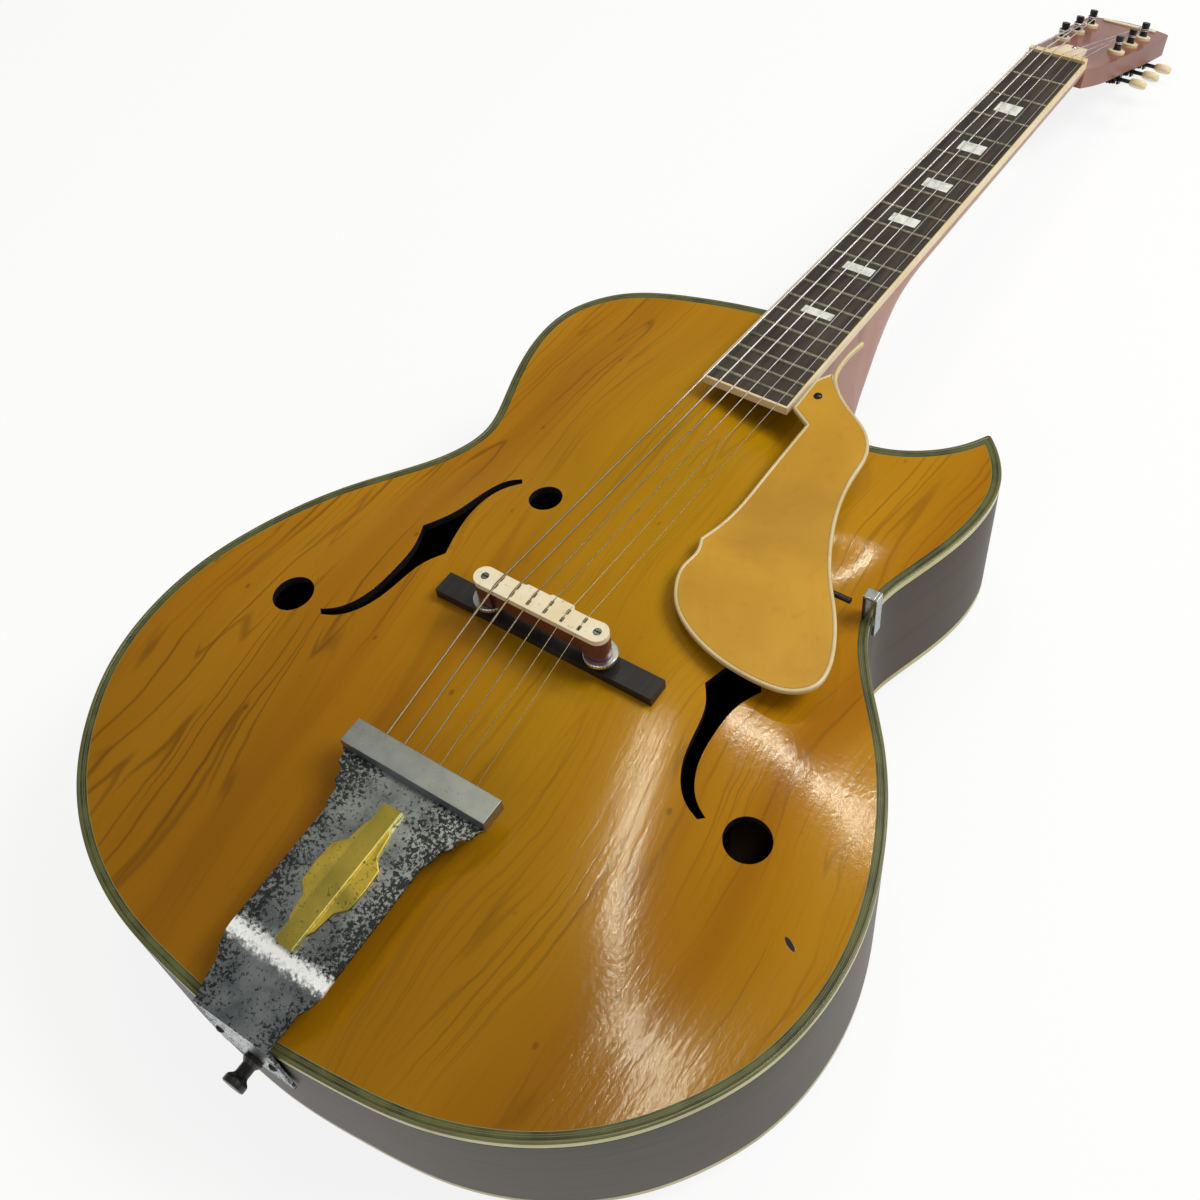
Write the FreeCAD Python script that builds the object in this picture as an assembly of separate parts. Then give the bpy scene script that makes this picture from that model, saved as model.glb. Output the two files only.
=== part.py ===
import FreeCAD, Part
import math
import os

V = FreeCAD.Vector
X_AXIS = V(1, 0, 0)
Y_AXIS = V(0, 1, 0)
Z_AXIS = V(0, 0, 1)
ORIGIN = V(0, 0, 0)
ORIGIN_PLACE = FreeCAD.Placement()

# Sound box: lengths in millimetres, y from the tail edge, z from the top's rim
BODY_LENGTH = 508.0
LOWER_BOUT_WIDTH = 411.0
LOWER_BOUT_Y = 152.0
WAIST_WIDTH = 253.0
WAIST_Y = 340.0
UPPER_BOUT_WIDTH = 293.4
UPPER_BOUT_BACK = 82.0
UPPER_BOUT_Y = BODY_LENGTH - UPPER_BOUT_BACK
BODY_DEPTH = 89.0
PLATE_THICKNESS = 5.0
TOP_ARCH = 14.0
BACK_ARCH = 14.0
RIB_THICKNESS = 3.0
BINDING_WIDTH = 2.2
PURFLING_WIDTH = 3.2
PURFLING_DEPTH = 1.5
LINING_WIDTH = 6.0
LINING_HEIGHT = 12.0
GLUE_LINE = 0.1
OVERRUN = 12.0

# Outline of one half as shares of the bout sizes: (across, along)
TAIL_SHARES = [(0.0, 0.0), (0.219, 0.021), (0.414, 0.063), (0.56, 0.132), (0.681, 0.224),
               (0.793, 0.352), (0.89, 0.52), (0.959, 0.704), (1.0, 1.0)]
WAIST_SHARES = [(0.025, 0.154), (0.133, 0.324), (0.278, 0.468), (0.487, 0.617), (0.728, 0.75),
                (0.918, 0.872), (1.0, 1.0)]
UPPER_SHARES = [(0.272, 0.279), (0.644, 0.535), (0.916, 0.79), (1.0, 1.0)]
SHOULDER_SHARES = [(0.982, 0.244), (0.927, 0.439), (0.832, 0.622), (0.702, 0.756), (0.545, 0.854),
                   (0.375, 0.933)]

# Cutaway on the treble side, from the heel to its sharp tip and past it
CUTAWAY_TIP_X = 125.0
CUTAWAY_TIP_BACK = 30.0
CUTAWAY_TIP_Y = BODY_LENGTH - CUTAWAY_TIP_BACK
CUTAWAY_FLOOR_BACK = 72.5
CUTAWAY_FLOOR_Y = BODY_LENGTH - CUTAWAY_FLOOR_BACK
CUTAWAY_SHARES = [(0.0, 0.27), (0.13, 0.07), (0.3, 0.0), (0.51, 0.047), (0.71, 0.247),
                  (0.88, 0.576), (1.0, 1.0), (1.08, 1.43)]
CUTAWAY_FLAT = 9.0
CUTAWAY_FADE = 60.0

# Arch of both plates: a flat rim, then a rise to the crown
ARCH_CENTRE_SHARE = 0.62
RIM_FLAT_SHARE = 0.08
ARCH_POWER = 3
ARCH_COLUMNS = 34
ARCH_ROWS = 42
ARCH_DEGREE = 3
ARCH_MARGIN = 6.0

# Sound holes: circles and the slot's corners and curves as shares of its box
HOLE_INNER_X = 76.7
HOLE_OUTER_X = 118.0
HOLE_LOW_Y = 185.5
HOLE_HIGH_Y = 313.8
UPPER_EYE_X = 57.0
UPPER_EYE_Y = 306.3
UPPER_EYE_RADIUS = 9.3
LOWER_EYE_X = 139.3
LOWER_EYE_Y = 189.5
LOWER_EYE_RADIUS = 11.5
SLOT_SHARES = [(0.7, 0.574), (0.574, 0.475), (0.537, 0.328), (0.6, 0.171), (0.826, 0.054), (1.0, 0.02),
               (0.93, 0.0), (0.748, 0.024), (0.46, 0.135), (0.343, 0.283), (0.25, 0.41), (0.094, 0.488),
               (0.192, 0.604), (0.262, 0.77), (0.143, 0.927), (0.0, 0.977), (0.06, 1.0), (0.19, 0.977),
               (0.366, 0.863), (0.471, 0.702)]
SLOT_CORNERS = [0, 5, 6, 11, 15, 16]

# Blocks and bars inside the box
NECK_BLOCK_HALF = 48.0
NECK_BLOCK_BACK = 26.0
TAIL_BLOCK_HALF = 36.0
TAIL_BLOCK_DEEP = 22.0
TIP_BLOCK_RADIUS = 24.0
TONE_BAR_X = 44.0
TONE_BAR_WIDTH = 8.0
TONE_BAR_HEIGHT = 13.0
TONE_BAR_LOW_Y = 105.0
TONE_BAR_HIGH_Y = 405.0

# Neck: a local frame with y along the neck from the fourteenth fret and z square to the board
NECK_ANGLE = 5.0
BOARD_HEIGHT = 13.7
JOINT_FRET = 14
JOINT_FRET_AHEAD = 3.4
SCALE_LENGTH = 628.0
FRET_COUNT = 20
BOARD_END_GAP = 10.0
BOARD_THICKNESS = 5.5
BOARD_NUT_WIDTH = 43.0
BOARD_END_WIDTH = 55.0
BOARD_BINDING = 1.7
FRET_WIDTH = 2.4
FRET_HEIGHT = 1.1
TANG_WIDTH = 0.6
TANG_DEPTH = 2.0
MARKER_FRETS = [3, 5, 7, 9, 12, 15]
MARKER_WIDTH_SHARE = 0.40
MARKER_DEPTH = 1.6
MARKER_LENGTH_SHARE = 0.42
NUT_THICKNESS = 5.0
NUT_RISE = 2.4
SHAFT_DEPTH_NUT = 12.5
SHAFT_DEPTH_HEEL = 17.5
HEEL_HALF_WIDTH = 25.0
HEEL_ROOT_LENGTH = 61.0
HEEL_RUN = 90.0
HEEL_DEPTH = 100.0
HEEL_SHARES = [(1.0, 0.175), (0.8, 0.205), (0.645, 0.28), (0.52, 0.41), (0.42, 0.58),
               (0.33, 0.78), (0.24, 1.0), (-0.1, 1.2)]
PROFILE_STEPS = 8
PROFILE_FULLNESS = 0.86

# Head: its own frame with v along the head from the nut and w out of its face
HEAD_ANGLE = 15.0
HEAD_LENGTH = 190.0
HEAD_WIDTH = 68.0
HEAD_THICKNESS = 14.0
HEAD_SHARES = [(0.632, 0.0), (0.7, 0.045), (0.8, 0.135), (0.855, 0.27), (0.87, 0.4), (0.92, 0.53),
               (0.985, 0.7), (1.0, 0.84), (0.985, 0.915), (0.93, 0.95)]
HEAD_CROWN_SHARES = [(0.6, 0.982), (0.3, 0.996)]
THROAT_RUN = 26.0
THROAT_HALF_WIDTH = 25.0

# Truss rod and its cover
ROD_RADIUS = 2.5
ROD_BELOW_BOARD = 7.0
ROD_TAIL = 30.0
ROD_NOSE = 9.0
ROD_CLEARANCE = 0.2
ROD_NUT_RADIUS = 3.2
ROD_NUT_LENGTH = 6.0
ROD_POCKET_HALF = 5.0
ROD_POCKET_DEPTH = 11.0
ROD_POCKET_LENGTH = 15.0
COVER_THICKNESS = 4.5
COVER_GAP = 0.6
COVER_LENGTH = 40.0
COVER_WIDTH = 26.0
COVER_SHARES = [(-1.0, 0.0), (1.0, 0.0), (0.9, 0.5), (0.62, 1.0), (-0.62, 1.0), (-0.9, 0.5)]
COVER_CORNERS = [0, 1, 3, 4]
COVER_SCREW_SHARES = [(-0.78, 0.14), (0.78, 0.14), (0.0, 0.84)]
PLAQUE_WIDTH = 44.0
PLAQUE_HEIGHT = 7.0
PLAQUE_THICKNESS = 1.2
PLAQUE_TOP_SHARE = 0.955

# Small round-headed screws
SCREW_HEAD_RADIUS = 2.4
SCREW_HEAD_HEIGHT = 1.4
SCREW_SHANK_RADIUS = 1.0
SCREW_SHANK_LENGTH = 7.0
SCREW_SLOT_WIDTH = 0.6
SCREW_SLOT_DEPTH = 0.7

# Tuners: worm shafts across, posts through the head
TUNER_FIRST = 72.0
TUNER_SPACING = 34.5
TUNER_ROW_HALF = 21.5
TUNER_PLATE_THICKNESS = 1.2
TUNER_PLATE_INNER = 8.5
TUNER_PLATE_OUTER = 7.2
TUNER_PLATE_END = 15.0
POST_RADIUS = 3.0
POST_WAIST_RADIUS = 2.6
POST_WAIST_LOW = 3.6
POST_WAIST_HIGH = 9.6
POST_HEIGHT = 12.6
RUNNING_CLEARANCE = 0.08
BUSHING_RADIUS = 6.2
BUSHING_HEIGHT = 2.6
BUSHING_WALL = 1.2
GEAR_TEETH = 14
GEAR_PITCH_RADIUS = 5.6
GEAR_TIP_RADIUS = 6.3
GEAR_ROOT_RADIUS = 4.6
GEAR_THICKNESS = 3.5
TOOTH_ROOT_HALF = 0.6
TOOTH_TIP_HALF = 0.22
WORM_PITCH_RADIUS = 3.0
WORM_TIP_RADIUS = 3.75
WORM_CORE_RADIUS = 2.05
THREAD_ROOT_HALF = 0.6
THREAD_TIP_HALF = 0.25
THREAD_SINK = 0.25
WORM_TURNS = 4
WORM_CORE_HALF = 5.4
WORM_GAP = 0.3
EAR_THICKNESS = 1.6
EAR_INNER = 5.6
EAR_HALF = 3.4
KEY_SHAFT_RADIUS = 1.5
KEY_SHAFT_TAIL = 0.8
BUTTON_START = 14.5
BUTTON_LENGTH = 13.5
BUTTON_WIDTH = 10.5
BUTTON_THICKNESS = 5.6
BUTTON_FILLET = 2.0
BUTTON_SOCKET = 4.0
BUTTON_TURN = 65.0

# Bridge
BRIDGE_COMPENSATION = 3.1
BRIDGE_BASE_HALF = 66.0
BRIDGE_BASE_WIDTH = 13.0
BRIDGE_BASE_TOP = 18.5
BRIDGE_POST_X = 33.6
BRIDGE_POST_RADIUS = 2.0
BRIDGE_POST_SINK = 3.0
BRIDGE_POST_RISE = 1.2
POST_SLOT_WIDTH = 0.8
POST_SLOT_DEPTH = 1.0
WHEEL_RADIUS = 9.0
WHEEL_THICKNESS = 2.4
WHEEL_BOTTOM = 23.8
WHEEL_TEETH = 36
WHEEL_KNURL = 0.5
WHEEL_GAP = 0.3
SADDLE_HALF = 39.5
SADDLE_WIDTH = 12.0
SADDLE_TOP = 39.4
SADDLE_WAIST_WIDTH = 8.0
CAP_THICKNESS = 2.4
CAP_CREST = 1.2
CAP_CREST_HALF = 27.0
CAP_CREST_WIDTH = 6.4
CAP_CREST_TOP = 0.8
CAP_CREST_STEP = 1.6
POST_HOLE_CLEARANCE = 0.08

# Tailpiece
TAIL_SHEET = 1.6
TAIL_STANDOFF = 0.3
TAIL_LEG_DROP = 34.0
TAIL_EDGE_RISE = 10.0
TAIL_BEND_Y = 33.0
TAIL_BEND_Z = 17.0
TAIL_BAR_Y = 125.0
TAIL_BAR_LENGTH = 14.0
TAIL_BAR_WIDTH = 85.0
TAIL_BAR_LOW = 20.6
TAIL_BAR_HIGH = 28.6
TAIL_BAR_WALL = 2.0
TAIL_END_WIDTH = 43.0
TAIL_PLATE_WIDTH = 57.0
TAIL_SCALLOPS = [(0.0, 0.0), (0.03, 0.0), (0.1, 0.22), (0.16, 0.3), (0.2, 0.75), (0.25, 1.0), (0.78, 1.0)]
TAIL_FLARE_SHARES = [(0.12, 0.8), (0.2, 0.86), (0.42, 0.88), (0.5, 0.93), (0.76, 0.945), (0.84, 0.985)]
ORNAMENT_LOW_Y = 36.0
ORNAMENT_HIGH_Y = 112.0
ORNAMENT_BAR_WIDTH = 10.5
ORNAMENT_BAR_RISE = 2.4
ORNAMENT_PLATE_WIDTH = 29.0
ORNAMENT_PLATE_RISE = 1.2
ORNAMENT_SHARES = [(0.2, 0.06), (0.5, 0.16), (0.62, 0.3), (0.95, 0.36), (1.0, 0.5), (0.95, 0.64),
                   (0.62, 0.7), (0.5, 0.84), (0.2, 0.94)]
TAIL_SCREW_X = 16.0
TAIL_SCREW_Z = 14.0
BUTTON_Z = 27.0
STRAP_NECK_RADIUS = 3.4
STRAP_FLANGE_RADIUS = 5.8
STRAP_SEAT_RADIUS = 5.0
STRAP_SEAT = 2.0
STRAP_LENGTH = 15.0
STRAP_FLANGE = 3.6
STRAP_PEG_RADIUS = 2.6
STRAP_PEG_LENGTH = 20.0

# Pickguard and its bracket
GUARD_X = 29.5
GUARD_BACK = 252.4
GUARD_Y = BODY_LENGTH - GUARD_BACK
GUARD_WIDTH = 102.5
GUARD_LENGTH = 201.4
GUARD_TOP = 22.0
GUARD_THICKNESS = 3.2
GUARD_BINDING = 2.2
GUARD_SHARES = [(0.063, 1.0), (0.0, 0.95), (0.0, 0.826), (0.125, 0.787), (0.116, 0.551),
                (0.09, 0.373), (0.052, 0.308), (0.079, 0.262), (0.068, 0.215), (0.098, 0.15),
                (0.157, 0.102), (0.29, 0.05), (0.53, 0.008), (0.755, 0.0), (0.9, 0.016),
                (0.986, 0.062), (0.989, 0.125), (0.95, 0.185), (0.852, 0.277), (0.748, 0.353),
                (0.65, 0.445), (0.565, 0.56), (0.522, 0.688), (0.505, 0.775), (0.43, 0.839),
                (0.277, 0.895), (0.135, 0.955)]
GUARD_CORNERS = [0, 1, 2, 3, 6]
GUARD_SCREW_ACROSS_SHARE = 0.078
GUARD_SCREW_ALONG_SHARE = 0.896
GUARD_SCREW_X = GUARD_X + GUARD_WIDTH * GUARD_SCREW_ACROSS_SHARE
GUARD_SCREW_Y = GUARD_Y + GUARD_LENGTH * GUARD_SCREW_ALONG_SHARE
GUARD_POST_RADIUS = 3.0
BRACKET_ALONG_SHARE = 0.3744
BRACKET_Y = GUARD_Y + GUARD_LENGTH * BRACKET_ALONG_SHARE
BRACKET_ROD_RADIUS = 1.8
BRACKET_ROD_X = 88.0
BRACKET_WIDTH = 9.0
BRACKET_SHEET = 1.8
BRACKET_DROP = 20.0

# Strings, from the thickest to the thinnest
STRING_DIAMETERS = [1.3, 1.07, 0.82, 0.62, 0.45, 0.36]
STRING_NUT_SPREAD = 36.0
STRING_BRIDGE_SPREAD = 50.0
STRING_TAIL_SPREAD = 54.0
STRING_LIFT = 0.2
STRING_GROOVE = 0.2
STRING_BEND = 5.0
STRING_TAIL_INSIDE = 4.0
NUT_STRING_HEIGHT = 1.6
WRAP_TURNS = 2
WRAP_CLEARANCE = 0.25
WRAP_GAP = 0.5
WRAP_START = 9.0
WRAP_STEPS_PER_TURN = 4
WRAP_TAIL = 2.0

# Places worked out from the sizes above
FRET14_Y = BODY_LENGTH + JOINT_FRET_AHEAD
NUT_LOCAL = SCALE_LENGTH * (1 - 2 ** (-JOINT_FRET / 12))
HEAD_ROOT = NUT_LOCAL + NUT_THICKNESS
BOARD_END = NUT_LOCAL - SCALE_LENGTH * (1 - 2 ** (-FRET_COUNT / 12)) - BOARD_END_GAP
HEEL_ROOT_Y = BODY_LENGTH - HEEL_ROOT_LENGTH
BRIDGE_Y = FRET14_Y + (NUT_LOCAL - SCALE_LENGTH - BRIDGE_COMPENSATION) * math.cos(math.radians(NECK_ANGLE))
WORM_CENTRE = GEAR_PITCH_RADIUS + WORM_PITCH_RADIUS
WORM_W = -(HEAD_THICKNESS + TUNER_PLATE_THICKNESS + WORM_TIP_RADIUS + WORM_GAP)
WORM_LEAD = 2 * math.pi * GEAR_PITCH_RADIUS / GEAR_TEETH
NECK_PLACE = FreeCAD.Placement(V(0, FRET14_Y, BOARD_HEIGHT), FreeCAD.Rotation(X_AXIS, -NECK_ANGLE))
HEAD_PLACE = NECK_PLACE.multiply(FreeCAD.Placement(V(0, HEAD_ROOT, -BOARD_THICKNESS),
                                                   FreeCAD.Rotation(X_AXIS, -HEAD_ANGLE)))


# Helpers for outlines and solids

def placed(shape, place):
    """The shape moved from a local frame into the body's frame."""
    moved = shape.copy()
    moved.Placement = place.multiply(moved.Placement)
    return moved


def spline_edge(points):
    """A smooth edge through the points, or a straight one between two."""
    if len(points) == 2:
        return Part.LineSegment(points[0], points[1]).toShape()
    curve = Part.BSplineCurve()
    curve.interpolate(points)
    return curve.toShape()


def outline_face(points, corners):
    """A flat face whose edge is smooth between the listed corner points."""
    count = len(points)
    edges = []
    for index, corner in enumerate(corners):
        following = corners[(index + 1) % len(corners)]
        steps = (following - corner) % count or count
        edges.append(spline_edge([points[(corner + step) % count] for step in range(steps + 1)]))
    return Part.Face(Part.Wire(edges))


def inset_points(points, inset):
    """The closed outline's points moved inwards; the outline runs anticlockwise."""
    moved = []
    count = len(points)
    for index, point in enumerate(points):
        before = (point - points[index - 1]).normalize()
        after = (points[(index + 1) % count] - point).normalize()
        normal = V(-before.y - after.y, before.x + after.x, 0).normalize()
        slant = normal.y * before.x - normal.x * before.y
        moved.append(point + normal * (inset / slant))
    return moved


def raised(face, low, high):
    """A prism over a flat face between two heights."""
    solid = face.extrude(V(0, 0, high - low))
    solid.translate(V(0, 0, low))
    return solid


def box_between(low, high):
    """A box between two opposite corners."""
    size = high - low
    return Part.makeBox(size.x, size.y, size.z, low)


def largest(shape):
    """The largest solid of a cut's result."""
    return max(shape.Solids, key=lambda solid: solid.Volume)


def screw(slot_turn):
    """A slotted round-headed screw, its head's seat at the origin and its shank downwards."""
    head = Part.makeCylinder(SCREW_HEAD_RADIUS, SCREW_HEAD_HEIGHT)
    rim = [edge for edge in head.Edges if edge.Curve.TypeId == "Part::GeomCircle"]
    rim = [edge for edge in rim if edge.CenterOfMass.z > SCREW_HEAD_HEIGHT / 2]
    head = head.makeFillet(SCREW_HEAD_HEIGHT / 2, rim)
    slot = box_between(V(-SCREW_HEAD_RADIUS, -SCREW_SLOT_WIDTH / 2, SCREW_HEAD_HEIGHT - SCREW_SLOT_DEPTH),
                       V(SCREW_HEAD_RADIUS, SCREW_SLOT_WIDTH / 2, SCREW_HEAD_HEIGHT))
    shank = Part.makeCylinder(SCREW_SHANK_RADIUS, SCREW_SHANK_LENGTH, ORIGIN, -Z_AXIS)
    made = head.cut(slot).fuse(shank).removeSplitter()
    made.rotate(ORIGIN, Z_AXIS, slot_turn)
    return made


def screw_hole():
    """The hole that a small screw's shank fills."""
    return Part.makeCylinder(SCREW_SHANK_RADIUS, SCREW_SHANK_LENGTH, ORIGIN, -Z_AXIS)


# Outline of the sound box

def box_outline():
    """Points of the whole outline, from the bass neck corner round the tail to the treble one."""
    lower = LOWER_BOUT_WIDTH / 2
    waist = WAIST_WIDTH / 2
    upper = UPPER_BOUT_WIDTH / 2
    half = [V(lower * across, LOWER_BOUT_Y * along, 0) for across, along in TAIL_SHARES]
    for across, along in WAIST_SHARES:
        half.append(V(lower + (waist - lower) * across, LOWER_BOUT_Y + (WAIST_Y - LOWER_BOUT_Y) * along, 0))
    for across, along in UPPER_SHARES:
        half.append(V(waist + (upper - waist) * across, WAIST_Y + (UPPER_BOUT_Y - WAIST_Y) * along, 0))
    for across, along in SHOULDER_SHARES:
        half.append(V(upper * across, UPPER_BOUT_Y + (BODY_LENGTH - UPPER_BOUT_Y) * along, 0))
    half.append(V(HEEL_HALF_WIDTH, BODY_LENGTH, 0))
    bass = [V(-point.x, point.y, 0) for point in reversed(half[1:])]
    return bass + half


def cutaway_outline(left):
    """Points of the region that the cutaway takes off as far as a left edge, its curve first."""
    across = CUTAWAY_TIP_X - HEEL_HALF_WIDTH
    along = CUTAWAY_TIP_Y - CUTAWAY_FLOOR_Y
    curve = [V(HEEL_HALF_WIDTH + across * x, CUTAWAY_FLOOR_Y + along * y, 0) for x, y in CUTAWAY_SHARES]
    far_y = BODY_LENGTH + OVERRUN
    far_x = UPPER_BOUT_WIDTH / 2 + OVERRUN
    closing = [V(far_x, curve[-1].y, 0), V(far_x, far_y, 0), V(left, far_y, 0)]
    if left < curve[0].x:
        closing.append(V(left, curve[0].y, 0))
    return curve + closing


def cutaway_face(growth, left=0):
    """The cutaway's region, grown towards the box."""
    points = cutaway_outline(left)
    last = len(CUTAWAY_SHARES) - 1
    return outline_face(inset_points(points, -growth), [0] + list(range(last, len(points))))


def heel_face():
    """The slot in the plates that the heel's root fills."""
    low = V(-HEEL_HALF_WIDTH - GLUE_LINE, HEEL_ROOT_Y - GLUE_LINE, 0)
    width = 2 * (HEEL_HALF_WIDTH + GLUE_LINE)
    return Part.makePlane(width, HEEL_ROOT_LENGTH + OVERRUN, low)


PLANFORMS = {}


def planform(inset):
    """The box's plan, moved inwards, with the cutaway and the heel's slot taken off."""
    if inset not in PLANFORMS:
        points = inset_points(box_outline(), inset)
        face = outline_face(points, [0, len(points) - 1])
        face = face.cut(cutaway_face(inset)).cut(heel_face())
        PLANFORMS[inset] = max(face.Faces, key=lambda part: part.Area)
    return PLANFORMS[inset]


def back_planform(inset):
    """The back's plan, which runs on under the heel's root."""
    points = inset_points(box_outline(), inset)
    face = outline_face(points, [0, len(points) - 1])
    keep = cutaway_face(inset, HEEL_HALF_WIDTH)
    return max(face.cut(keep).Faces, key=lambda part: part.Area)


def ring_face(outer, inner):
    """The band of the plan between two insets."""
    return planform(outer).cut(planform(inner))


# Arch of the plates

def polar_outline():
    """Angle and distance of the outline from the arch's centre, in order of angle."""
    centre = V(0, BODY_LENGTH * ARCH_CENTRE_SHARE, 0)
    points = box_outline()
    edge = spline_edge(points)
    reach = []
    for point in edge.discretize(16 * len(points)) + [V(0, BODY_LENGTH, 0)]:
        out = point - centre
        reach.append((math.atan2(out.y, out.x), out.Length))
    return sorted(reach)


def outline_reach(reach, angle):
    """Distance from the arch's centre to the outline at an angle."""
    turn = 2 * math.pi
    padded = [(reach[-1][0] - turn, reach[-1][1])] + reach + [(reach[0][0] + turn, reach[0][1])]
    for low, high in zip(padded, padded[1:]):
        if low[0] <= angle <= high[0]:
            share = (angle - low[0]) / max(high[0] - low[0], 1e-9)
            return low[1] + (high[1] - low[1]) * share
    return reach[0][1]


def arch_shares():
    """Rows of (x, y, share of the arch's height) over the box's plan."""
    centre_y = BODY_LENGTH * ARCH_CENTRE_SHARE
    reach = polar_outline()
    curve = spline_edge(cutaway_outline(0)[:len(CUTAWAY_SHARES)])
    rim = curve.discretize(8 * len(CUTAWAY_SHARES))
    region = cutaway_face(0)
    half = LOWER_BOUT_WIDTH / 2 + ARCH_MARGIN
    length = BODY_LENGTH + 2 * ARCH_MARGIN
    rows = []
    for row in range(ARCH_ROWS + 1):
        y = length * row / ARCH_ROWS - ARCH_MARGIN
        line = []
        for column in range(ARCH_COLUMNS + 1):
            x = half * (2 * column / ARCH_COLUMNS - 1)
            ratio = math.hypot(x, y - centre_y) / outline_reach(reach, math.atan2(y - centre_y, x))
            rise = max(0.0, 1 - (ratio / (1 - RIM_FLAT_SHARE)) ** ARCH_POWER) ** 2
            point = V(x, y, 0)
            gap = min(point.distanceToPoint(stop) for stop in rim)
            if region.isInside(point, GLUE_LINE, True):
                gap = 0.0
            fade = min(1.0, max(0.0, gap - CUTAWAY_FLAT) / CUTAWAY_FADE)
            line.append((x, y, rise * fade * fade * (3 - 2 * fade)))
        rows.append(line)
    return rows


ARCH = arch_shares()


def clamped_knots(count):
    """Even knots and their multiplicities for a row of control points."""
    spans = count - ARCH_DEGREE
    ends = ARCH_DEGREE + 1
    return [float(knot) for knot in range(spans + 1)], [ends] + [1] * (spans - 1) + [ends]


def arch_face(rim_height, arch):
    """The curved sheet of a plate's outer surface."""
    poles = [[V(x, y, rim_height + arch * share) for x, y, share in line] for line in ARCH]
    surface = Part.BSplineSurface()
    knots_u, mults_u = clamped_knots(len(poles))
    knots_v, mults_v = clamped_knots(len(poles[0]))
    surface.buildFromPolesMultsKnots(poles, mults_u, mults_v, knots_u, knots_v, False, False,
                                     ARCH_DEGREE, ARCH_DEGREE)
    return surface.toShape()


TOP_FACE = arch_face(0, TOP_ARCH)
BACK_FACE = arch_face(-BODY_DEPTH, -BACK_ARCH)


def layer(face, start, end):
    """The space between two copies of a curved sheet, shifted up or down."""
    sheet = face.copy()
    sheet.translate(V(0, 0, start))
    return sheet.extrude(V(0, 0, end - start))


def above_top():
    """All that lies above the underside of the top plate."""
    return layer(TOP_FACE, -PLATE_THICKNESS - GLUE_LINE, TOP_ARCH + BODY_DEPTH)


def below_back():
    """All that lies below the inside of the back plate."""
    return layer(BACK_FACE, PLATE_THICKNESS + GLUE_LINE, -BACK_ARCH - BODY_DEPTH)


def inside_box(face):
    """A block over a flat face that fills the height between the two plates."""
    block = raised(face, -BODY_DEPTH - BACK_ARCH, TOP_ARCH)
    return largest(block.cut(above_top()).cut(below_back()))


# Sound box pieces

def sound_hole(side):
    """Cutter for one sound hole: two round eyes and the pointed slot."""
    low = V(HOLE_INNER_X, HOLE_LOW_Y, 0)
    size = V(HOLE_OUTER_X - HOLE_INNER_X, HOLE_HIGH_Y - HOLE_LOW_Y, 0)
    points = [V(side * (low.x + size.x * x), low.y + size.y * y, 0) for x, y in SLOT_SHARES]
    cutter = raised(outline_face(points, SLOT_CORNERS), -BODY_DEPTH / 2, TOP_ARCH + OVERRUN)
    eyes = [(UPPER_EYE_X, UPPER_EYE_Y, UPPER_EYE_RADIUS), (LOWER_EYE_X, LOWER_EYE_Y, LOWER_EYE_RADIUS)]
    cutters = [cutter]
    for x, y, radius in eyes:
        base = V(side * x, y, -BODY_DEPTH / 2)
        cutters.append(Part.makeCylinder(radius, BODY_DEPTH / 2 + TOP_ARCH + OVERRUN, base))
    return cutters


def top_plate():
    """The arched top with its sound holes and the channel for the purfling."""
    plate = raised(planform(BINDING_WIDTH), -BODY_DEPTH / 2, TOP_ARCH + OVERRUN)
    plate = plate.common(layer(TOP_FACE, 0, -PLATE_THICKNESS))
    channel = raised(ring_face(BINDING_WIDTH, BINDING_WIDTH + PURFLING_WIDTH), -PURFLING_DEPTH, OVERRUN)
    return largest(plate.cut([channel] + sound_hole(1) + sound_hole(-1)))


def back_plate():
    """The arched back."""
    plate = raised(back_planform(BINDING_WIDTH), -BODY_DEPTH - BACK_ARCH - OVERRUN, -BODY_DEPTH / 2)
    return largest(plate.common(layer(BACK_FACE, 0, PLATE_THICKNESS)))


def box_sides():
    """The three bent ribs: bass, treble and cutaway."""
    ring = ring_face(0, RIB_THICKNESS)
    notch = cutaway_face(RIB_THICKNESS)
    reach = LOWER_BOUT_WIDTH
    bass_half = Part.makePlane(reach, BODY_LENGTH + 2 * OVERRUN, V(-reach, -OVERRUN, 0))
    treble_half = Part.makePlane(reach, BODY_LENGTH + 2 * OVERRUN, V(0, -OVERRUN, 0))
    low = -BODY_DEPTH + PLATE_THICKNESS
    bands = {"bass_side": ring.common(bass_half),
             "treble_side": ring.cut(notch).common(treble_half),
             "cutaway_side": ring.common(notch).common(treble_half)}
    return {name: largest(raised(band, low, -PLATE_THICKNESS)) for name, band in bands.items()}


def edge_bands():
    """Bindings on both edges and the purfling in the top."""
    binding = ring_face(0, BINDING_WIDTH)
    back_binding = back_planform(0).cut(back_planform(BINDING_WIDTH))
    purfling = ring_face(BINDING_WIDTH, BINDING_WIDTH + PURFLING_WIDTH)
    back_low = -BODY_DEPTH
    return {"top_binding": raised(binding, -PLATE_THICKNESS, 0),
            "top_purfling": raised(purfling, -PURFLING_DEPTH, 0),
            "back_binding": raised(back_binding, back_low, back_low + PLATE_THICKNESS)}


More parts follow.
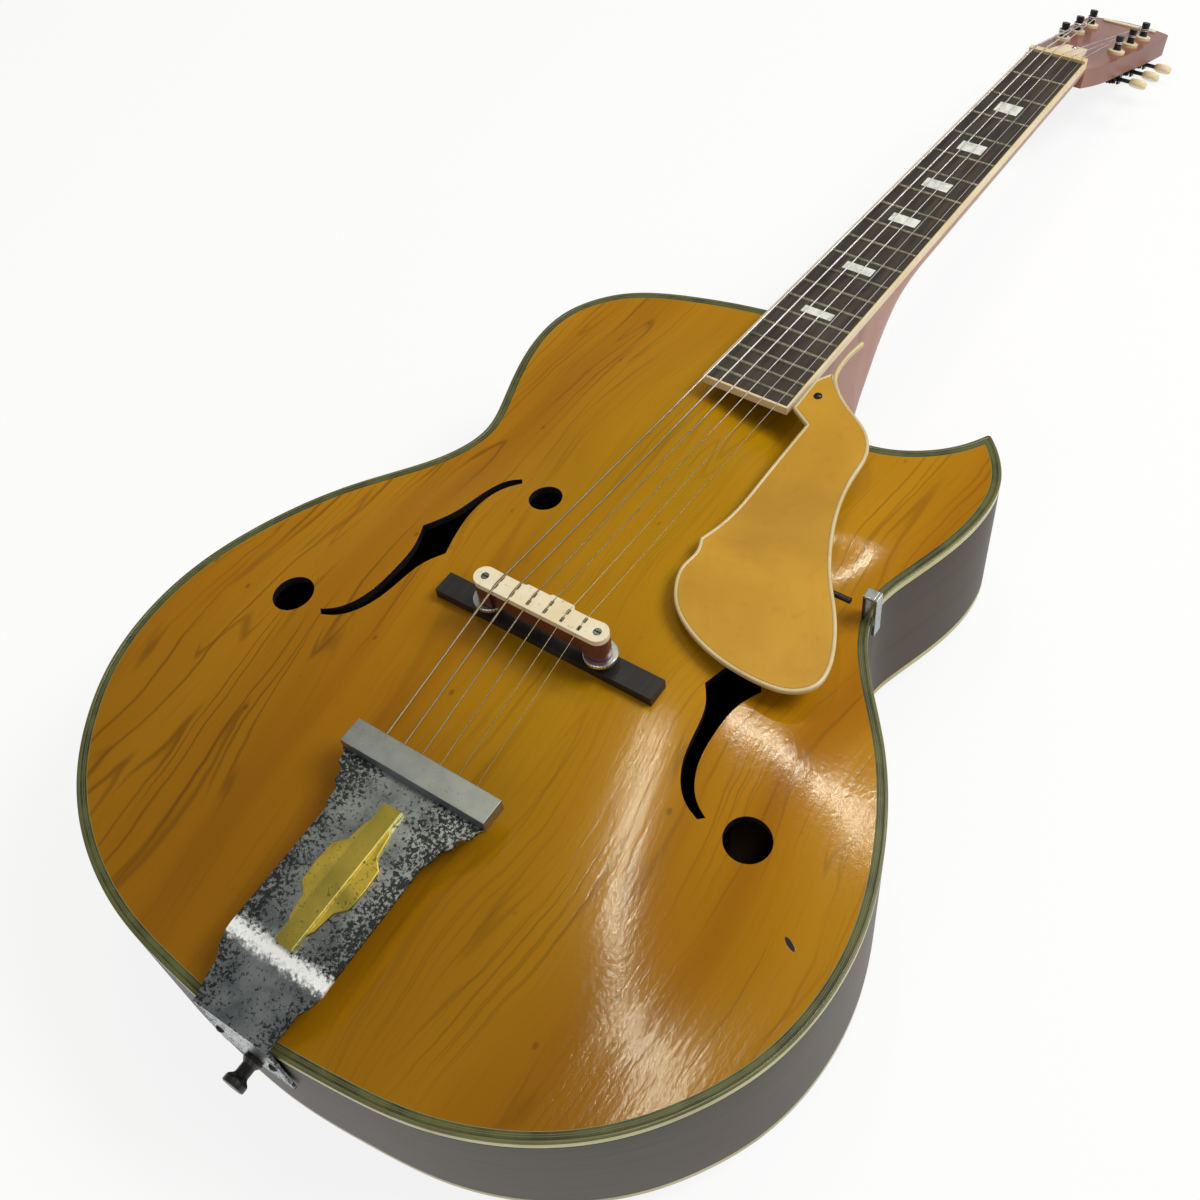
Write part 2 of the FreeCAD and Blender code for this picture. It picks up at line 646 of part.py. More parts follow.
def block_plans():
    """Plans of the neck, tail and cutaway blocks, kept inside the ribs."""
    inner = planform(RIB_THICKNESS + GLUE_LINE)
    neck_low = V(-NECK_BLOCK_HALF, HEEL_ROOT_Y - NECK_BLOCK_BACK, 0)
    neck = Part.makePlane(NECK_BLOCK_HALF + HEEL_HALF_WIDTH, NECK_BLOCK_BACK + HEEL_ROOT_LENGTH, neck_low)
    tail = Part.makePlane(2 * TAIL_BLOCK_HALF, RIB_THICKNESS + TAIL_BLOCK_DEEP, V(-TAIL_BLOCK_HALF, 0, 0))
    tip = Part.makeCircle(TIP_BLOCK_RADIUS, V(CUTAWAY_TIP_X, CUTAWAY_TIP_Y, 0))
    tip = Part.Face(Part.Wire([tip]))
    return {"neck_block": inner.common(neck), "tail_block": inner.common(tail),
            "cutaway_block": inner.common(tip)}


def linings(plans):
    """Strips in the corners where the ribs meet the top and the back."""
    band = ring_face(RIB_THICKNESS + GLUE_LINE, RIB_THICKNESS + GLUE_LINE + LINING_WIDTH)
    top = -PLATE_THICKNESS - GLUE_LINE
    bottom = -BODY_DEPTH + PLATE_THICKNESS + GLUE_LINE
    made = {}
    for name, low in (("top_linings", top - LINING_HEIGHT), ("back_linings", bottom)):
        strip = raised(band, low, low + LINING_HEIGHT)
        made[name] = strip.cut([raised(plan, low, low + LINING_HEIGHT) for plan in plans.values()])
    return made


def tone_bars():
    """Two bars along the underside of the top."""
    bars = []
    for side in (-1, 1):
        middle = side * TONE_BAR_X
        plan = Part.makePlane(TONE_BAR_WIDTH, TONE_BAR_HIGH_Y - TONE_BAR_LOW_Y,
                              V(middle - TONE_BAR_WIDTH / 2, TONE_BAR_LOW_Y, 0))
        start = -PLATE_THICKNESS - GLUE_LINE
        bar = raised(plan, -BODY_DEPTH / 2, TOP_ARCH)
        bars.append(largest(bar.common(layer(TOP_FACE, start, start - TONE_BAR_HEIGHT))))
    return Part.makeCompound(bars)


# Neck and fingerboard, in the neck's frame

def board_half(y):
    """Half the fingerboard's width at a place along the neck."""
    share = (NUT_LOCAL - y) / (NUT_LOCAL - BOARD_END)
    return (BOARD_NUT_WIDTH + (BOARD_END_WIDTH - BOARD_NUT_WIDTH) * share) / 2


def fret_y(number):
    """Place of a fret along the neck."""
    return NUT_LOCAL - SCALE_LENGTH * (1 - 2 ** (-number / 12))


def board_prism(side_inset, end_inset):
    """The tapered board, narrowed at its sides and at its end."""
    end = BOARD_END + end_inset
    wide = board_half(end) - side_inset
    narrow = board_half(NUT_LOCAL) - side_inset
    points = [V(-wide, end, 0), V(wide, end, 0), V(narrow, NUT_LOCAL, 0), V(-narrow, NUT_LOCAL, 0)]
    return raised(outline_face(points, [0, 1, 2, 3]), -BOARD_THICKNESS, 0)


def fret_half(number):
    """Half the length of a fret, which ends at the board's binding."""
    return board_half(fret_y(number) + FRET_WIDTH / 2) - BOARD_BINDING


def fret(number):
    """One fret: a rounded crown on a thin tang."""
    y = fret_y(number)
    half = fret_half(number)
    crown = Part.Arc(V(-half, y - FRET_WIDTH / 2, 0), V(-half, y, FRET_HEIGHT), V(-half, y + FRET_WIDTH / 2, 0))
    base = Part.LineSegment(crown.EndPoint, crown.StartPoint)
    crown = Part.Face(Part.Wire([crown.toShape(), base.toShape()])).extrude(V(2 * half, 0, 0))
    return crown.fuse(tang(number))


def tang(number):
    """The part of a fret that sits in the board's slot."""
    y = fret_y(number)
    half = fret_half(number)
    return box_between(V(-half, y - TANG_WIDTH / 2, -TANG_DEPTH), V(half, y + TANG_WIDTH / 2, 0))


def marker(number):
    """One block inlay between two frets."""
    length = (fret_y(number - 1) - fret_y(number)) * MARKER_LENGTH_SHARE
    middle = (fret_y(number - 1) + fret_y(number)) / 2
    half = (board_half(middle) - BOARD_BINDING) * MARKER_WIDTH_SHARE
    return box_between(V(-half, middle - length / 2, -MARKER_DEPTH), V(half, middle + length / 2, 0))


def board_pieces():
    """Fingerboard, its binding, the frets and the block inlays."""
    numbers = range(1, FRET_COUNT + 1)
    core = board_prism(BOARD_BINDING, BOARD_BINDING)
    markers = [marker(number) for number in MARKER_FRETS]
    board = core.cut([tang(number) for number in numbers] + markers)
    pieces = {"fingerboard": board,
              "fingerboard_binding": board_prism(0, 0).cut(core),
              "frets": Part.makeCompound([fret(number) for number in numbers]),
              "position_markers": Part.makeCompound(markers)}
    return {name: placed(piece, NECK_PLACE) for name, piece in pieces.items()}


def shaft_profile(y, half, depth):
    """The neck's cross-section: flat under the board, round below."""
    points = []
    for step in range(PROFILE_STEPS + 1):
        angle = math.pi * step / PROFILE_STEPS
        across = math.copysign(abs(math.cos(angle)) ** PROFILE_FULLNESS, math.cos(angle))
        down = math.sin(angle) ** PROFILE_FULLNESS
        points.append(V(half * across, y, -BOARD_THICKNESS - depth * down))
    return Part.Wire([spline_edge(points), spline_edge([points[-1], points[0]])])


def neck_shaft():
    """The shaft from the heel to the nut."""
    low = shaft_profile(HEEL_RUN, board_half(HEEL_RUN), SHAFT_DEPTH_HEEL)
    high = shaft_profile(HEAD_ROOT, board_half(NUT_LOCAL), SHAFT_DEPTH_NUT)
    return placed(Part.makeLoft([low, high], True, True), NECK_PLACE)


def neck_heel():
    """The heel, which deepens towards the box and ends flat on its face."""
    wires = []
    for along, deep in HEEL_SHARES:
        y = HEEL_RUN * along
        wires.append(shaft_profile(y, board_half(y), HEEL_DEPTH * deep))
    heel = placed(Part.makeLoft(wires, True, False), NECK_PLACE)
    reach = HEEL_DEPTH + HEEL_RUN
    keep = box_between(V(-reach, BODY_LENGTH, -BODY_DEPTH), V(reach, BODY_LENGTH + reach, reach))
    return largest(heel.common(keep))


def heel_root():
    """The heel's root, set into the box up to the board's underside."""
    root = box_between(V(-HEEL_HALF_WIDTH, HEEL_ROOT_Y, -BODY_DEPTH - BACK_ARCH),
                       V(HEEL_HALF_WIDTH, BODY_LENGTH, BOARD_HEIGHT + HEEL_ROOT_LENGTH))
    reach = HEEL_DEPTH + HEEL_RUN
    board = placed(box_between(V(-reach, -reach, -BOARD_THICKNESS), V(reach, reach, reach)), NECK_PLACE)
    return largest(root.cut(board).cut(below_back()))


def head_outline():
    """Points of the head's outline in its own frame, anticlockwise from the nut."""
    half = HEAD_WIDTH / 2
    right = [V(half * across, HEAD_LENGTH * along, 0) for across, along in HEAD_SHARES]
    crown = [V(half * across, HEAD_LENGTH * along, 0) for across, along in HEAD_CROWN_SHARES]
    treble = right + crown
    middle = [V(0, HEAD_LENGTH, 0)]
    return treble + middle + [V(-point.x, point.y, 0) for point in reversed(treble)]


def head_plate():
    """The head's board."""
    points = head_outline()
    side = len(HEAD_SHARES) - 1
    last = len(points) - 1
    face = outline_face(points, [0, side, last - side, last])
    return placed(raised(face, -HEAD_THICKNESS, 0), HEAD_PLACE)


def head_throat():
    """The cheeks that lead from the round shaft into the flat head."""
    low = placed(shaft_profile(HEAD_ROOT, board_half(NUT_LOCAL), SHAFT_DEPTH_NUT), NECK_PLACE)
    high = shaft_profile(THROAT_RUN, THROAT_HALF_WIDTH, HEAD_THICKNESS)
    high.translate(V(0, 0, BOARD_THICKNESS))
    return Part.makeLoft([low, placed(high, HEAD_PLACE)], True, True)


def rod_channel():
    """The channel for the truss rod and the pocket at its nut."""
    start = V(0, -ROD_TAIL - ROD_CLEARANCE, -BOARD_THICKNESS - ROD_BELOW_BOARD)
    length = ROD_TAIL + HEAD_ROOT + ROD_NOSE
    bore = Part.makeCylinder(ROD_RADIUS + ROD_CLEARANCE, length, start, Y_AXIS)
    pocket = box_between(V(-ROD_POCKET_HALF, COVER_GAP, -ROD_POCKET_DEPTH),
                         V(ROD_POCKET_HALF, ROD_POCKET_LENGTH, OVERRUN))
    return [placed(bore, NECK_PLACE), placed(pocket, HEAD_PLACE)]


def truss_rod():
    """The steel rod under the board, with its nut in the head's pocket."""
    base = V(0, -ROD_TAIL, -BOARD_THICKNESS - ROD_BELOW_BOARD)
    length = ROD_TAIL + HEAD_ROOT + ROD_NOSE
    rod = Part.makeCylinder(ROD_RADIUS, length, base, Y_AXIS)
    corners = []
    for corner in range(7):
        angle = math.pi * corner / 3
        corners.append(V(ROD_NUT_RADIUS * math.cos(angle), 0, ROD_NUT_RADIUS * math.sin(angle)))
    nut = Part.Face(Part.makePolygon(corners)).extrude(V(0, ROD_NUT_LENGTH, 0))
    nut.translate(base + V(0, length - ROD_NUT_LENGTH, 0))
    return placed(rod.fuse(nut).removeSplitter(), NECK_PLACE)


def tuner_places():
    """Side and place along the head of each tuner, from string 1 to string 6."""
    treble = [(1, TUNER_FIRST + TUNER_SPACING * row) for row in range(3)]
    bass = [(-1, TUNER_FIRST + TUNER_SPACING * row) for row in reversed(range(3))]
    return treble + bass


def head_holes():
    """The through holes for the tuners' bushings."""
    holes = []
    for side, along in tuner_places():
        base = V(side * TUNER_ROW_HALF, along, -HEAD_THICKNESS - OVERRUN)
        hole = Part.makeCylinder(POST_RADIUS + BUSHING_WALL, HEAD_THICKNESS + 2 * OVERRUN, base)
        holes.append(placed(hole, HEAD_PLACE))
    return holes


def cover_screw_places():
    """Where the truss rod cover's screws stand on the cover's face."""
    return [V(x * COVER_WIDTH / 2, COVER_GAP + y * COVER_LENGTH, COVER_THICKNESS) for x, y in COVER_SCREW_SHARES]


def small_screws(places, frame):
    """Screws with their heads at the given places of a local frame."""
    made = []
    for index, place in enumerate(places):
        item = screw(35 + 50 * index)
        item.translate(place)
        made.append(placed(item, frame))
    return made


def screw_cutters(places, frame):
    """Holes for screws at the given places of a local frame."""
    cutters = []
    for place in places:
        cutter = screw_hole()
        cutter.translate(place)
        cutters.append(placed(cutter, frame))
    return cutters


def neck():
    """Shaft, heel and head of one wood."""
    wood = neck_shaft().fuse([neck_heel(), heel_root(), head_plate(), head_throat()])
    cutters = rod_channel() + head_holes() + screw_cutters(cover_screw_places(), HEAD_PLACE)
    cutters += screw_cutters(plate_screw_places(), BACK_PLACE)
    return largest(wood.cut(cutters).removeSplitter())


def truss_cover():
    """The blunt wedge of a plate over the truss rod's pocket."""
    points = [V(x * COVER_WIDTH / 2, COVER_GAP + y * COVER_LENGTH, 0) for x, y in COVER_SHARES]
    cover = placed(raised(outline_face(points, COVER_CORNERS), 0, COVER_THICKNESS), HEAD_PLACE)
    return cover.cut(screw_cutters(cover_screw_places(), HEAD_PLACE))


def head_plaque():
    """A bare strip across the top of the head's face."""
    top = HEAD_LENGTH * PLAQUE_TOP_SHARE
    plaque = box_between(V(-PLAQUE_WIDTH / 2, top - PLAQUE_HEIGHT, 0), V(PLAQUE_WIDTH / 2, top, PLAQUE_THICKNESS))
    upright = [edge for edge in plaque.Edges if abs(edge.tangentAt(edge.FirstParameter).z) > 0.9]
    return placed(plaque.makeFillet(PLAQUE_HEIGHT / 3, upright), HEAD_PLACE)


# Strings' crossing places

def string_x(index, spread):
    """Side place of a string, index 0 being the thickest, on the bass side."""
    return spread * (index / (len(STRING_DIAMETERS) - 1) - 0.5)


def nut_point(index):
    """Where a string leaves the nut towards the head."""
    height = NUT_STRING_HEIGHT + STRING_DIAMETERS[index] / 2
    return NECK_PLACE.multVec(V(string_x(index, STRING_NUT_SPREAD), HEAD_ROOT, height))


def crest_y(index):
    """Place of the cap's crest under a string, stepped from string to string."""
    return BRIDGE_Y + CAP_CREST_STEP * ((index % 3) - 1) / 2


def saddle_point(index):
    """Where a string crosses the bridge."""
    crest = SADDLE_TOP + CAP_THICKNESS + CAP_CREST
    height = crest + STRING_LIFT + STRING_DIAMETERS[index] / 2
    return V(string_x(index, STRING_BRIDGE_SPREAD), crest_y(index), height)


def tail_point(index):
    """Where a string starts, inside the tailpiece's bar."""
    middle = (TAIL_BAR_LOW + TAIL_BAR_HIGH) / 2
    return V(string_x(index, STRING_TAIL_SPREAD), TAIL_BAR_Y + TAIL_BAR_LENGTH - STRING_TAIL_INSIDE, middle)


def nut():
    """The nut with a groove for each string."""
    half = board_half(NUT_LOCAL)
    block = placed(box_between(V(-half, NUT_LOCAL, -BOARD_THICKNESS), V(half, HEAD_ROOT, NUT_RISE)), NECK_PLACE)
    grooves = []
    for index, diameter in enumerate(STRING_DIAMETERS):
        x = string_x(index, STRING_NUT_SPREAD)
        gap = diameter / 2 + STRING_GROOVE
        groove = box_between(V(x - gap, NUT_LOCAL - OVERRUN, NUT_STRING_HEIGHT - STRING_GROOVE),
                             V(x + gap, HEAD_ROOT + OVERRUN, NUT_RISE + OVERRUN))
        grooves.append(placed(groove, NECK_PLACE))
    return block.cut(grooves)


# Tuners, built about a post on the treble side and mirrored for the bass side

BACK_PLACE = HEAD_PLACE.multiply(FreeCAD.Placement(V(0, 0, -HEAD_THICKNESS), FreeCAD.Rotation(Y_AXIS, 180)))


def plate_screw_places():
    """Screws of the tuner plates, in a frame that looks at the head's back."""
    places = []
    for side in (-1, 1):
        for gap in range(2):
            along = TUNER_FIRST + TUNER_SPACING * gap + (TUNER_SPACING + WORM_CENTRE) / 2
            places.append(V(side * TUNER_ROW_HALF, along, TUNER_PLATE_THICKNESS))
    return places


def worm_thread():
    """The worm's thread as one helical ridge about the z axis."""
    length = WORM_TURNS * WORM_LEAD
    helix = Part.makeHelix(WORM_LEAD, length, WORM_CORE_RADIUS)
    inner = WORM_CORE_RADIUS - THREAD_SINK
    ridge = [V(inner, 0, -THREAD_ROOT_HALF), V(WORM_TIP_RADIUS, 0, -THREAD_TIP_HALF),
             V(WORM_TIP_RADIUS, 0, THREAD_TIP_HALF), V(inner, 0, THREAD_ROOT_HALF)]
    profile = Part.makePolygon(ridge + ridge[:1])
    thread = Part.Wire(helix).makePipeShell([profile], True, True)
    thread.translate(V(0, 0, -length / 2))
    return thread


def key_button():
    """The oval button at the end of a worm shaft, along the z axis."""
    oval = Part.Ellipse(ORIGIN, BUTTON_LENGTH / 2, BUTTON_WIDTH / 2).toShape()
    face = Part.Face(Part.Wire([oval]))
    button = raised(face, -BUTTON_THICKNESS / 2, BUTTON_THICKNESS / 2)
    button = button.makeFillet(BUTTON_FILLET, [edge for edge in button.Edges if edge.Length > BUTTON_THICKNESS + 1e-6])
    button.rotate(ORIGIN, Y_AXIS, -90)
    button.rotate(ORIGIN, Z_AXIS, BUTTON_TURN)
    button.translate(V(0, 0, BUTTON_START + BUTTON_LENGTH / 2))
    return button


def tuner_key():
    """Worm shaft and button of a treble tuner, about the post's axis."""
    end = EAR_INNER + EAR_THICKNESS + KEY_SHAFT_TAIL
    shaft = Part.makeCylinder(KEY_SHAFT_RADIUS, end + BUTTON_START + BUTTON_SOCKET, V(0, 0, -end))
    core = Part.makeCylinder(WORM_CORE_RADIUS, 2 * WORM_CORE_HALF, V(0, 0, -WORM_CORE_HALF))
    key = core.fuse([shaft, worm_thread(), key_button()])
    turn = FreeCAD.Rotation(V(0, -1, 0), V(0, 0, -1), X_AXIS, "XYZ")
    return placed(key, FreeCAD.Placement(V(0, WORM_CENTRE, WORM_W), turn))


def post_gear():
    """The gear at a post's foot, with a tooth space facing the worm."""
    step = 2 * math.pi / GEAR_TEETH
    points = []
    for tooth in range(GEAR_TEETH):
        middle = math.pi / 2 + step * (tooth + 0.5)
        corners = [(GEAR_ROOT_RADIUS, -TOOTH_ROOT_HALF), (GEAR_TIP_RADIUS, -TOOTH_TIP_HALF),
                   (GEAR_TIP_RADIUS, TOOTH_TIP_HALF), (GEAR_ROOT_RADIUS, TOOTH_ROOT_HALF)]
        for radius, half in corners:
            points.append(V(radius * math.cos(middle) - half * math.sin(middle),
                            radius * math.sin(middle) + half * math.cos(middle), 0))
    face = Part.Face(Part.makePolygon(points + points[:1]))
    return raised(face, WORM_W - GEAR_THICKNESS / 2, WORM_W + GEAR_THICKNESS / 2)


def tuner_post():
    """A post with its gear, about its own axis."""
    foot = WORM_W - GEAR_THICKNESS / 2
    sections = [(POST_RADIUS, foot, POST_WAIST_LOW), (POST_WAIST_RADIUS, POST_WAIST_LOW, POST_WAIST_HIGH),
                (POST_RADIUS, POST_WAIST_HIGH, POST_HEIGHT)]
    pieces = [Part.makeCylinder(radius, high - low, V(0, 0, low)) for radius, low, high in sections]
    return pieces[0].fuse(pieces[1:] + [post_gear()])


def tuner_bushing():
    """The collar on the head's face that a post turns in."""
    bore = POST_RADIUS + RUNNING_CLEARANCE
    flange = Part.makeCylinder(BUSHING_RADIUS, BUSHING_HEIGHT)
    top = [edge for edge in flange.Edges if edge.CenterOfMass.z > BUSHING_HEIGHT - 1e-6]
    flange = flange.makeFillet(BUSHING_HEIGHT / 3, top[:1])
    sleeve = Part.makeCylinder(POST_RADIUS + BUSHING_WALL, HEAD_THICKNESS, V(0, 0, -HEAD_THICKNESS))
    hole = Part.makeCylinder(bore, HEAD_THICKNESS + OVERRUN, V(0, 0, -HEAD_THICKNESS))
    return flange.fuse(sleeve).cut(hole)


def tuner_plate():
    """The treble plate on the head's back, with two ears for each worm shaft."""
    low = TUNER_FIRST - TUNER_PLATE_END
    high = TUNER_FIRST + 2 * TUNER_SPACING + WORM_CENTRE + TUNER_PLATE_END / 2
    back = -HEAD_THICKNESS - TUNER_PLATE_THICKNESS
    plate = box_between(V(TUNER_ROW_HALF - TUNER_PLATE_INNER, low, back),
                        V(TUNER_ROW_HALF + TUNER_PLATE_OUTER, high, -HEAD_THICKNESS))
    ears = []
    holes = []
    for row in range(3):
        along = TUNER_FIRST + TUNER_SPACING * row
        middle = along + WORM_CENTRE
        holes.append(Part.makeCylinder(POST_RADIUS + BUSHING_WALL, TUNER_PLATE_THICKNESS, V(TUNER_ROW_HALF, along, back)))
        bore = Part.makeCylinder(KEY_SHAFT_RADIUS + RUNNING_CLEARANCE, HEAD_WIDTH, V(0, middle, WORM_W), X_AXIS)
        holes.append(bore)
        for start in (-EAR_INNER - EAR_THICKNESS, EAR_INNER):
            ears.append(box_between(V(TUNER_ROW_HALF + start, middle - EAR_HALF, WORM_W - EAR_HALF),
                                    V(TUNER_ROW_HALF + start + EAR_THICKNESS, middle + EAR_HALF, back)))
    return plate.fuse(ears).cut(holes)


def on_both_sides(shape):
    """A treble shape and its mirror image on the bass side."""
    return [shape, shape.mirror(ORIGIN, X_AXIS)]


def tuner_pieces():
    """All the tuners' pieces by node name."""
    plates = on_both_sides(tuner_plate())
    cutters = screw_cutters(plate_screw_places(), BACK_PLACE)
    pieces = {"tuner_plates": Part.makeCompound([placed(plate, HEAD_PLACE).cut(cutters) for plate in plates]),
              "tuner_screws": Part.makeCompound(small_screws(plate_screw_places(), BACK_PLACE))}
    bushings = []
    keys = {1: tuner_key()}
    keys[-1] = keys[1].mirror(ORIGIN, X_AXIS)
    posts = {1: tuner_post()}
    posts[-1] = posts[1].mirror(ORIGIN, X_AXIS)
    for number, (side, along) in enumerate(tuner_places(), 1):
        spot = HEAD_PLACE.multiply(FreeCAD.Placement(V(side * TUNER_ROW_HALF, along, 0), FreeCAD.Rotation()))
        pieces["tuner_post_%d" % number] = placed(posts[side], spot)
        pieces["tuner_key_%d" % number] = placed(keys[side], spot)
        bushings.append(placed(tuner_bushing(), spot))
    pieces["tuner_bushings"] = Part.makeCompound(bushings)
    return pieces


# Bridge

def bridge_base():
    """The foot of the bridge, hollowed to the arch of the top."""
    low = V(-BRIDGE_BASE_HALF, BRIDGE_Y - BRIDGE_BASE_WIDTH / 2, -BODY_DEPTH / 2)
    bar = box_between(low, V(BRIDGE_BASE_HALF, BRIDGE_Y + BRIDGE_BASE_WIDTH / 2, BRIDGE_BASE_TOP))
    foot = largest(bar.cut(layer(TOP_FACE, GLUE_LINE, -BODY_DEPTH)))
    sockets = []
    for side in (-1, 1):
        base = V(side * BRIDGE_POST_X, BRIDGE_Y, BRIDGE_BASE_TOP - BRIDGE_POST_SINK)
        sockets.append(Part.makeCylinder(BRIDGE_POST_RADIUS, BRIDGE_POST_SINK, base))
    return foot.cut(sockets)


def bridge_post(side):
    """One upright stud, slotted at its top."""
    foot = BRIDGE_BASE_TOP - BRIDGE_POST_SINK
    top = SADDLE_TOP + CAP_THICKNESS + BRIDGE_POST_RISE
    stud = Part.makeCylinder(BRIDGE_POST_RADIUS, top - foot, V(side * BRIDGE_POST_X, BRIDGE_Y, foot))
    reach = BRIDGE_POST_RADIUS + OVERRUN
    middle = V(side * BRIDGE_POST_X, BRIDGE_Y, top)
    slot = box_between(middle - V(reach, POST_SLOT_WIDTH / 2, POST_SLOT_DEPTH),
                       middle + V(reach, POST_SLOT_WIDTH / 2, 0))
    return stud.cut(slot)


def thumbwheel(side):
    """A knurled wheel on a stud, under the saddle."""
    points = []
    for step in range(2 * WHEEL_TEETH):
        angle = math.pi * step / WHEEL_TEETH
        radius = WHEEL_RADIUS - WHEEL_KNURL * (step % 2)
        points.append(V(radius * math.cos(angle), radius * math.sin(angle), 0))
    face = Part.Face(Part.makePolygon(points + points[:1]))
    wheel = raised(face, WHEEL_BOTTOM, WHEEL_BOTTOM + WHEEL_THICKNESS)
    bore = Part.makeCylinder(BRIDGE_POST_RADIUS + POST_HOLE_CLEARANCE, WHEEL_THICKNESS, V(0, 0, WHEEL_BOTTOM))
    wheel = wheel.cut(bore)
    wheel.translate(V(side * BRIDGE_POST_X, BRIDGE_Y, 0))
    return wheel


def stadium_face(half, width):
    """A bar's plan with round ends, centred on the bridge."""
    radius = width / 2
    straight = half - radius
    sides = [(V(-straight, -radius, 0), V(straight, -radius, 0)), (V(straight, radius, 0), V(-straight, radius, 0))]
    edges = [Part.LineSegment(*sides[0]).toShape(),
             Part.Arc(sides[0][1], V(half, 0, 0), sides[1][0]).toShape(),
             Part.LineSegment(*sides[1]).toShape(),
             Part.Arc(sides[1][1], V(-half, 0, 0), sides[0][0]).toShape()]
    face = Part.Face(Part.Wire(edges))
    face.translate(V(0, BRIDGE_Y, 0))
    return face


def saddle_holes():
    """Clearance holes for the studs through saddle and cap."""
    radius = BRIDGE_POST_RADIUS + POST_HOLE_CLEARANCE
    return [Part.makeCylinder(radius, SADDLE_TOP + OVERRUN, V(side * BRIDGE_POST_X, BRIDGE_Y, 0))
            for side in (-1, 1)]


def bridge_saddle():
    """The wooden saddle: a bar with round ends, slimmer between the studs."""
    low = WHEEL_BOTTOM + WHEEL_THICKNESS + WHEEL_GAP
    bar = raised(stadium_face(SADDLE_HALF, SADDLE_WIDTH), low, SADDLE_TOP)
    inner = BRIDGE_POST_X - SADDLE_WIDTH / 2
    slims = []
    for side in (-1, 1):
        near = BRIDGE_Y + side * SADDLE_WAIST_WIDTH / 2
        far = BRIDGE_Y + side * SADDLE_WIDTH
        slims.append(box_between(V(-inner, min(near, far), low), V(inner, max(near, far), SADDLE_TOP)))
    return bar.cut(slims + saddle_holes())


def bridge_cap():
    """The cap on the saddle, with a stepped crest under the strings."""
    plate = raised(stadium_face(SADDLE_HALF, SADDLE_WIDTH), SADDLE_TOP, SADDLE_TOP + CAP_THICKNESS)
    inner = BRIDGE_POST_X - SADDLE_WIDTH / 2
    slims = []
    for side in (-1, 1):
        near = BRIDGE_Y + side * (SADDLE_WAIST_WIDTH + CAP_CREST_STEP) / 2
        far = BRIDGE_Y + side * SADDLE_WIDTH
        slims.append(box_between(V(-inner, min(near, far), SADDLE_TOP), V(inner, max(near, far), SADDLE_TOP + CAP_THICKNESS)))
    crests = []
    count = len(STRING_DIAMETERS)
    pitch = 2 * CAP_CREST_HALF / count
    for index in range(count):
        middle = V(-CAP_CREST_HALF + pitch * index, crest_y(index), SADDLE_TOP + CAP_THICKNESS)
        corners = [middle - V(0, CAP_CREST_WIDTH / 2, 0), middle + V(0, CAP_CREST_WIDTH / 2, 0),
                   middle + V(0, CAP_CREST_TOP / 2, CAP_CREST), middle + V(0, -CAP_CREST_TOP / 2, CAP_CREST)]
        crests.append(Part.Face(Part.makePolygon(corners + corners[:1])).extrude(V(pitch, 0, 0)))
    return plate.cut(slims + saddle_holes()).fuse(crests).removeSplitter()


# Tailpiece

def tail_profile(low_shift, high_shift):
    """The sheet's side view between two shifts square to it, from the leg over the edge to the bar."""
    edge_y = -TAIL_STANDOFF
    middle = [V(0, edge_y, -TAIL_LEG_DROP), V(0, edge_y, TAIL_EDGE_RISE), V(0, TAIL_BEND_Y, TAIL_BEND_Z),
              V(0, TAIL_BAR_Y, TAIL_BAR_LOW)]
    sides = []
    for shift in (low_shift, high_shift):
        side = []
        for index, point in enumerate(middle):
            before = (point - middle[index - 1]) if index else (middle[1] - point)
            after = (middle[index + 1] - point) if index + 1 < len(middle) else before
            before = V(before).normalize()
            after = V(after).normalize()
            normal = V(0, -before.z - after.z, before.y + after.y).normalize()
            slant = normal.z * before.y - normal.y * before.z
            side.append(point + normal * (shift / slant))
        sides.append(side)
    outline = sides[0] + sides[1][::-1]
    face = Part.Face(Part.makePolygon(outline + outline[:1]))
    face.translate(V(-TAIL_BAR_WIDTH / 2, 0, 0))
    return face.extrude(V(TAIL_BAR_WIDTH, 0, 0))


def tail_plan():
    """The sheet's plan: narrow at the edge, then wide, with scalloped shoulders up to the bar."""
    end = TAIL_END_WIDTH / 2
    wide = TAIL_PLATE_WIDTH / 2
    bar = TAIL_BAR_WIDTH / 2
    low = -TAIL_STANDOFF - 2 * TAIL_SHEET
    run = TAIL_BAR_Y - low
    right = [V(end + (wide - end) * across, low + run * along, 0) for along, across in TAIL_SCALLOPS]
    right += [V(wide + (bar - wide) * across, low + run * along, 0) for across, along in TAIL_FLARE_SHARES]
    right.append(V(bar, TAIL_BAR_Y, 0))
    points = right + [V(-point.x, point.y, 0) for point in reversed(right)]
    return outline_face(points, list(range(len(points))))


def tail_screw_places():
    """Screws in the leg, in a frame that looks at the tail."""
    return [V(-TAIL_SCREW_X, -TAIL_SCREW_Z, 0), V(TAIL_SCREW_X, -TAIL_SCREW_Z, 0)]


TAIL_PLACE = FreeCAD.Placement(V(0, -TAIL_STANDOFF - TAIL_SHEET, 0), FreeCAD.Rotation(X_AXIS, 90))


def tailpiece_plate():
    """The bent sheet of the tailpiece."""
    sheet = tail_profile(0, TAIL_SHEET)
    plan = raised(tail_plan(), -BODY_DEPTH, TAIL_BAR_HIGH + OVERRUN)
    peg = Part.makeCylinder(STRAP_PEG_RADIUS, 2 * OVERRUN, V(0, -OVERRUN, -BUTTON_Z), Y_AXIS)
    return largest(sheet.common(plan).cut(screw_cutters(tail_screw_places(), TAIL_PLACE) + [peg]))


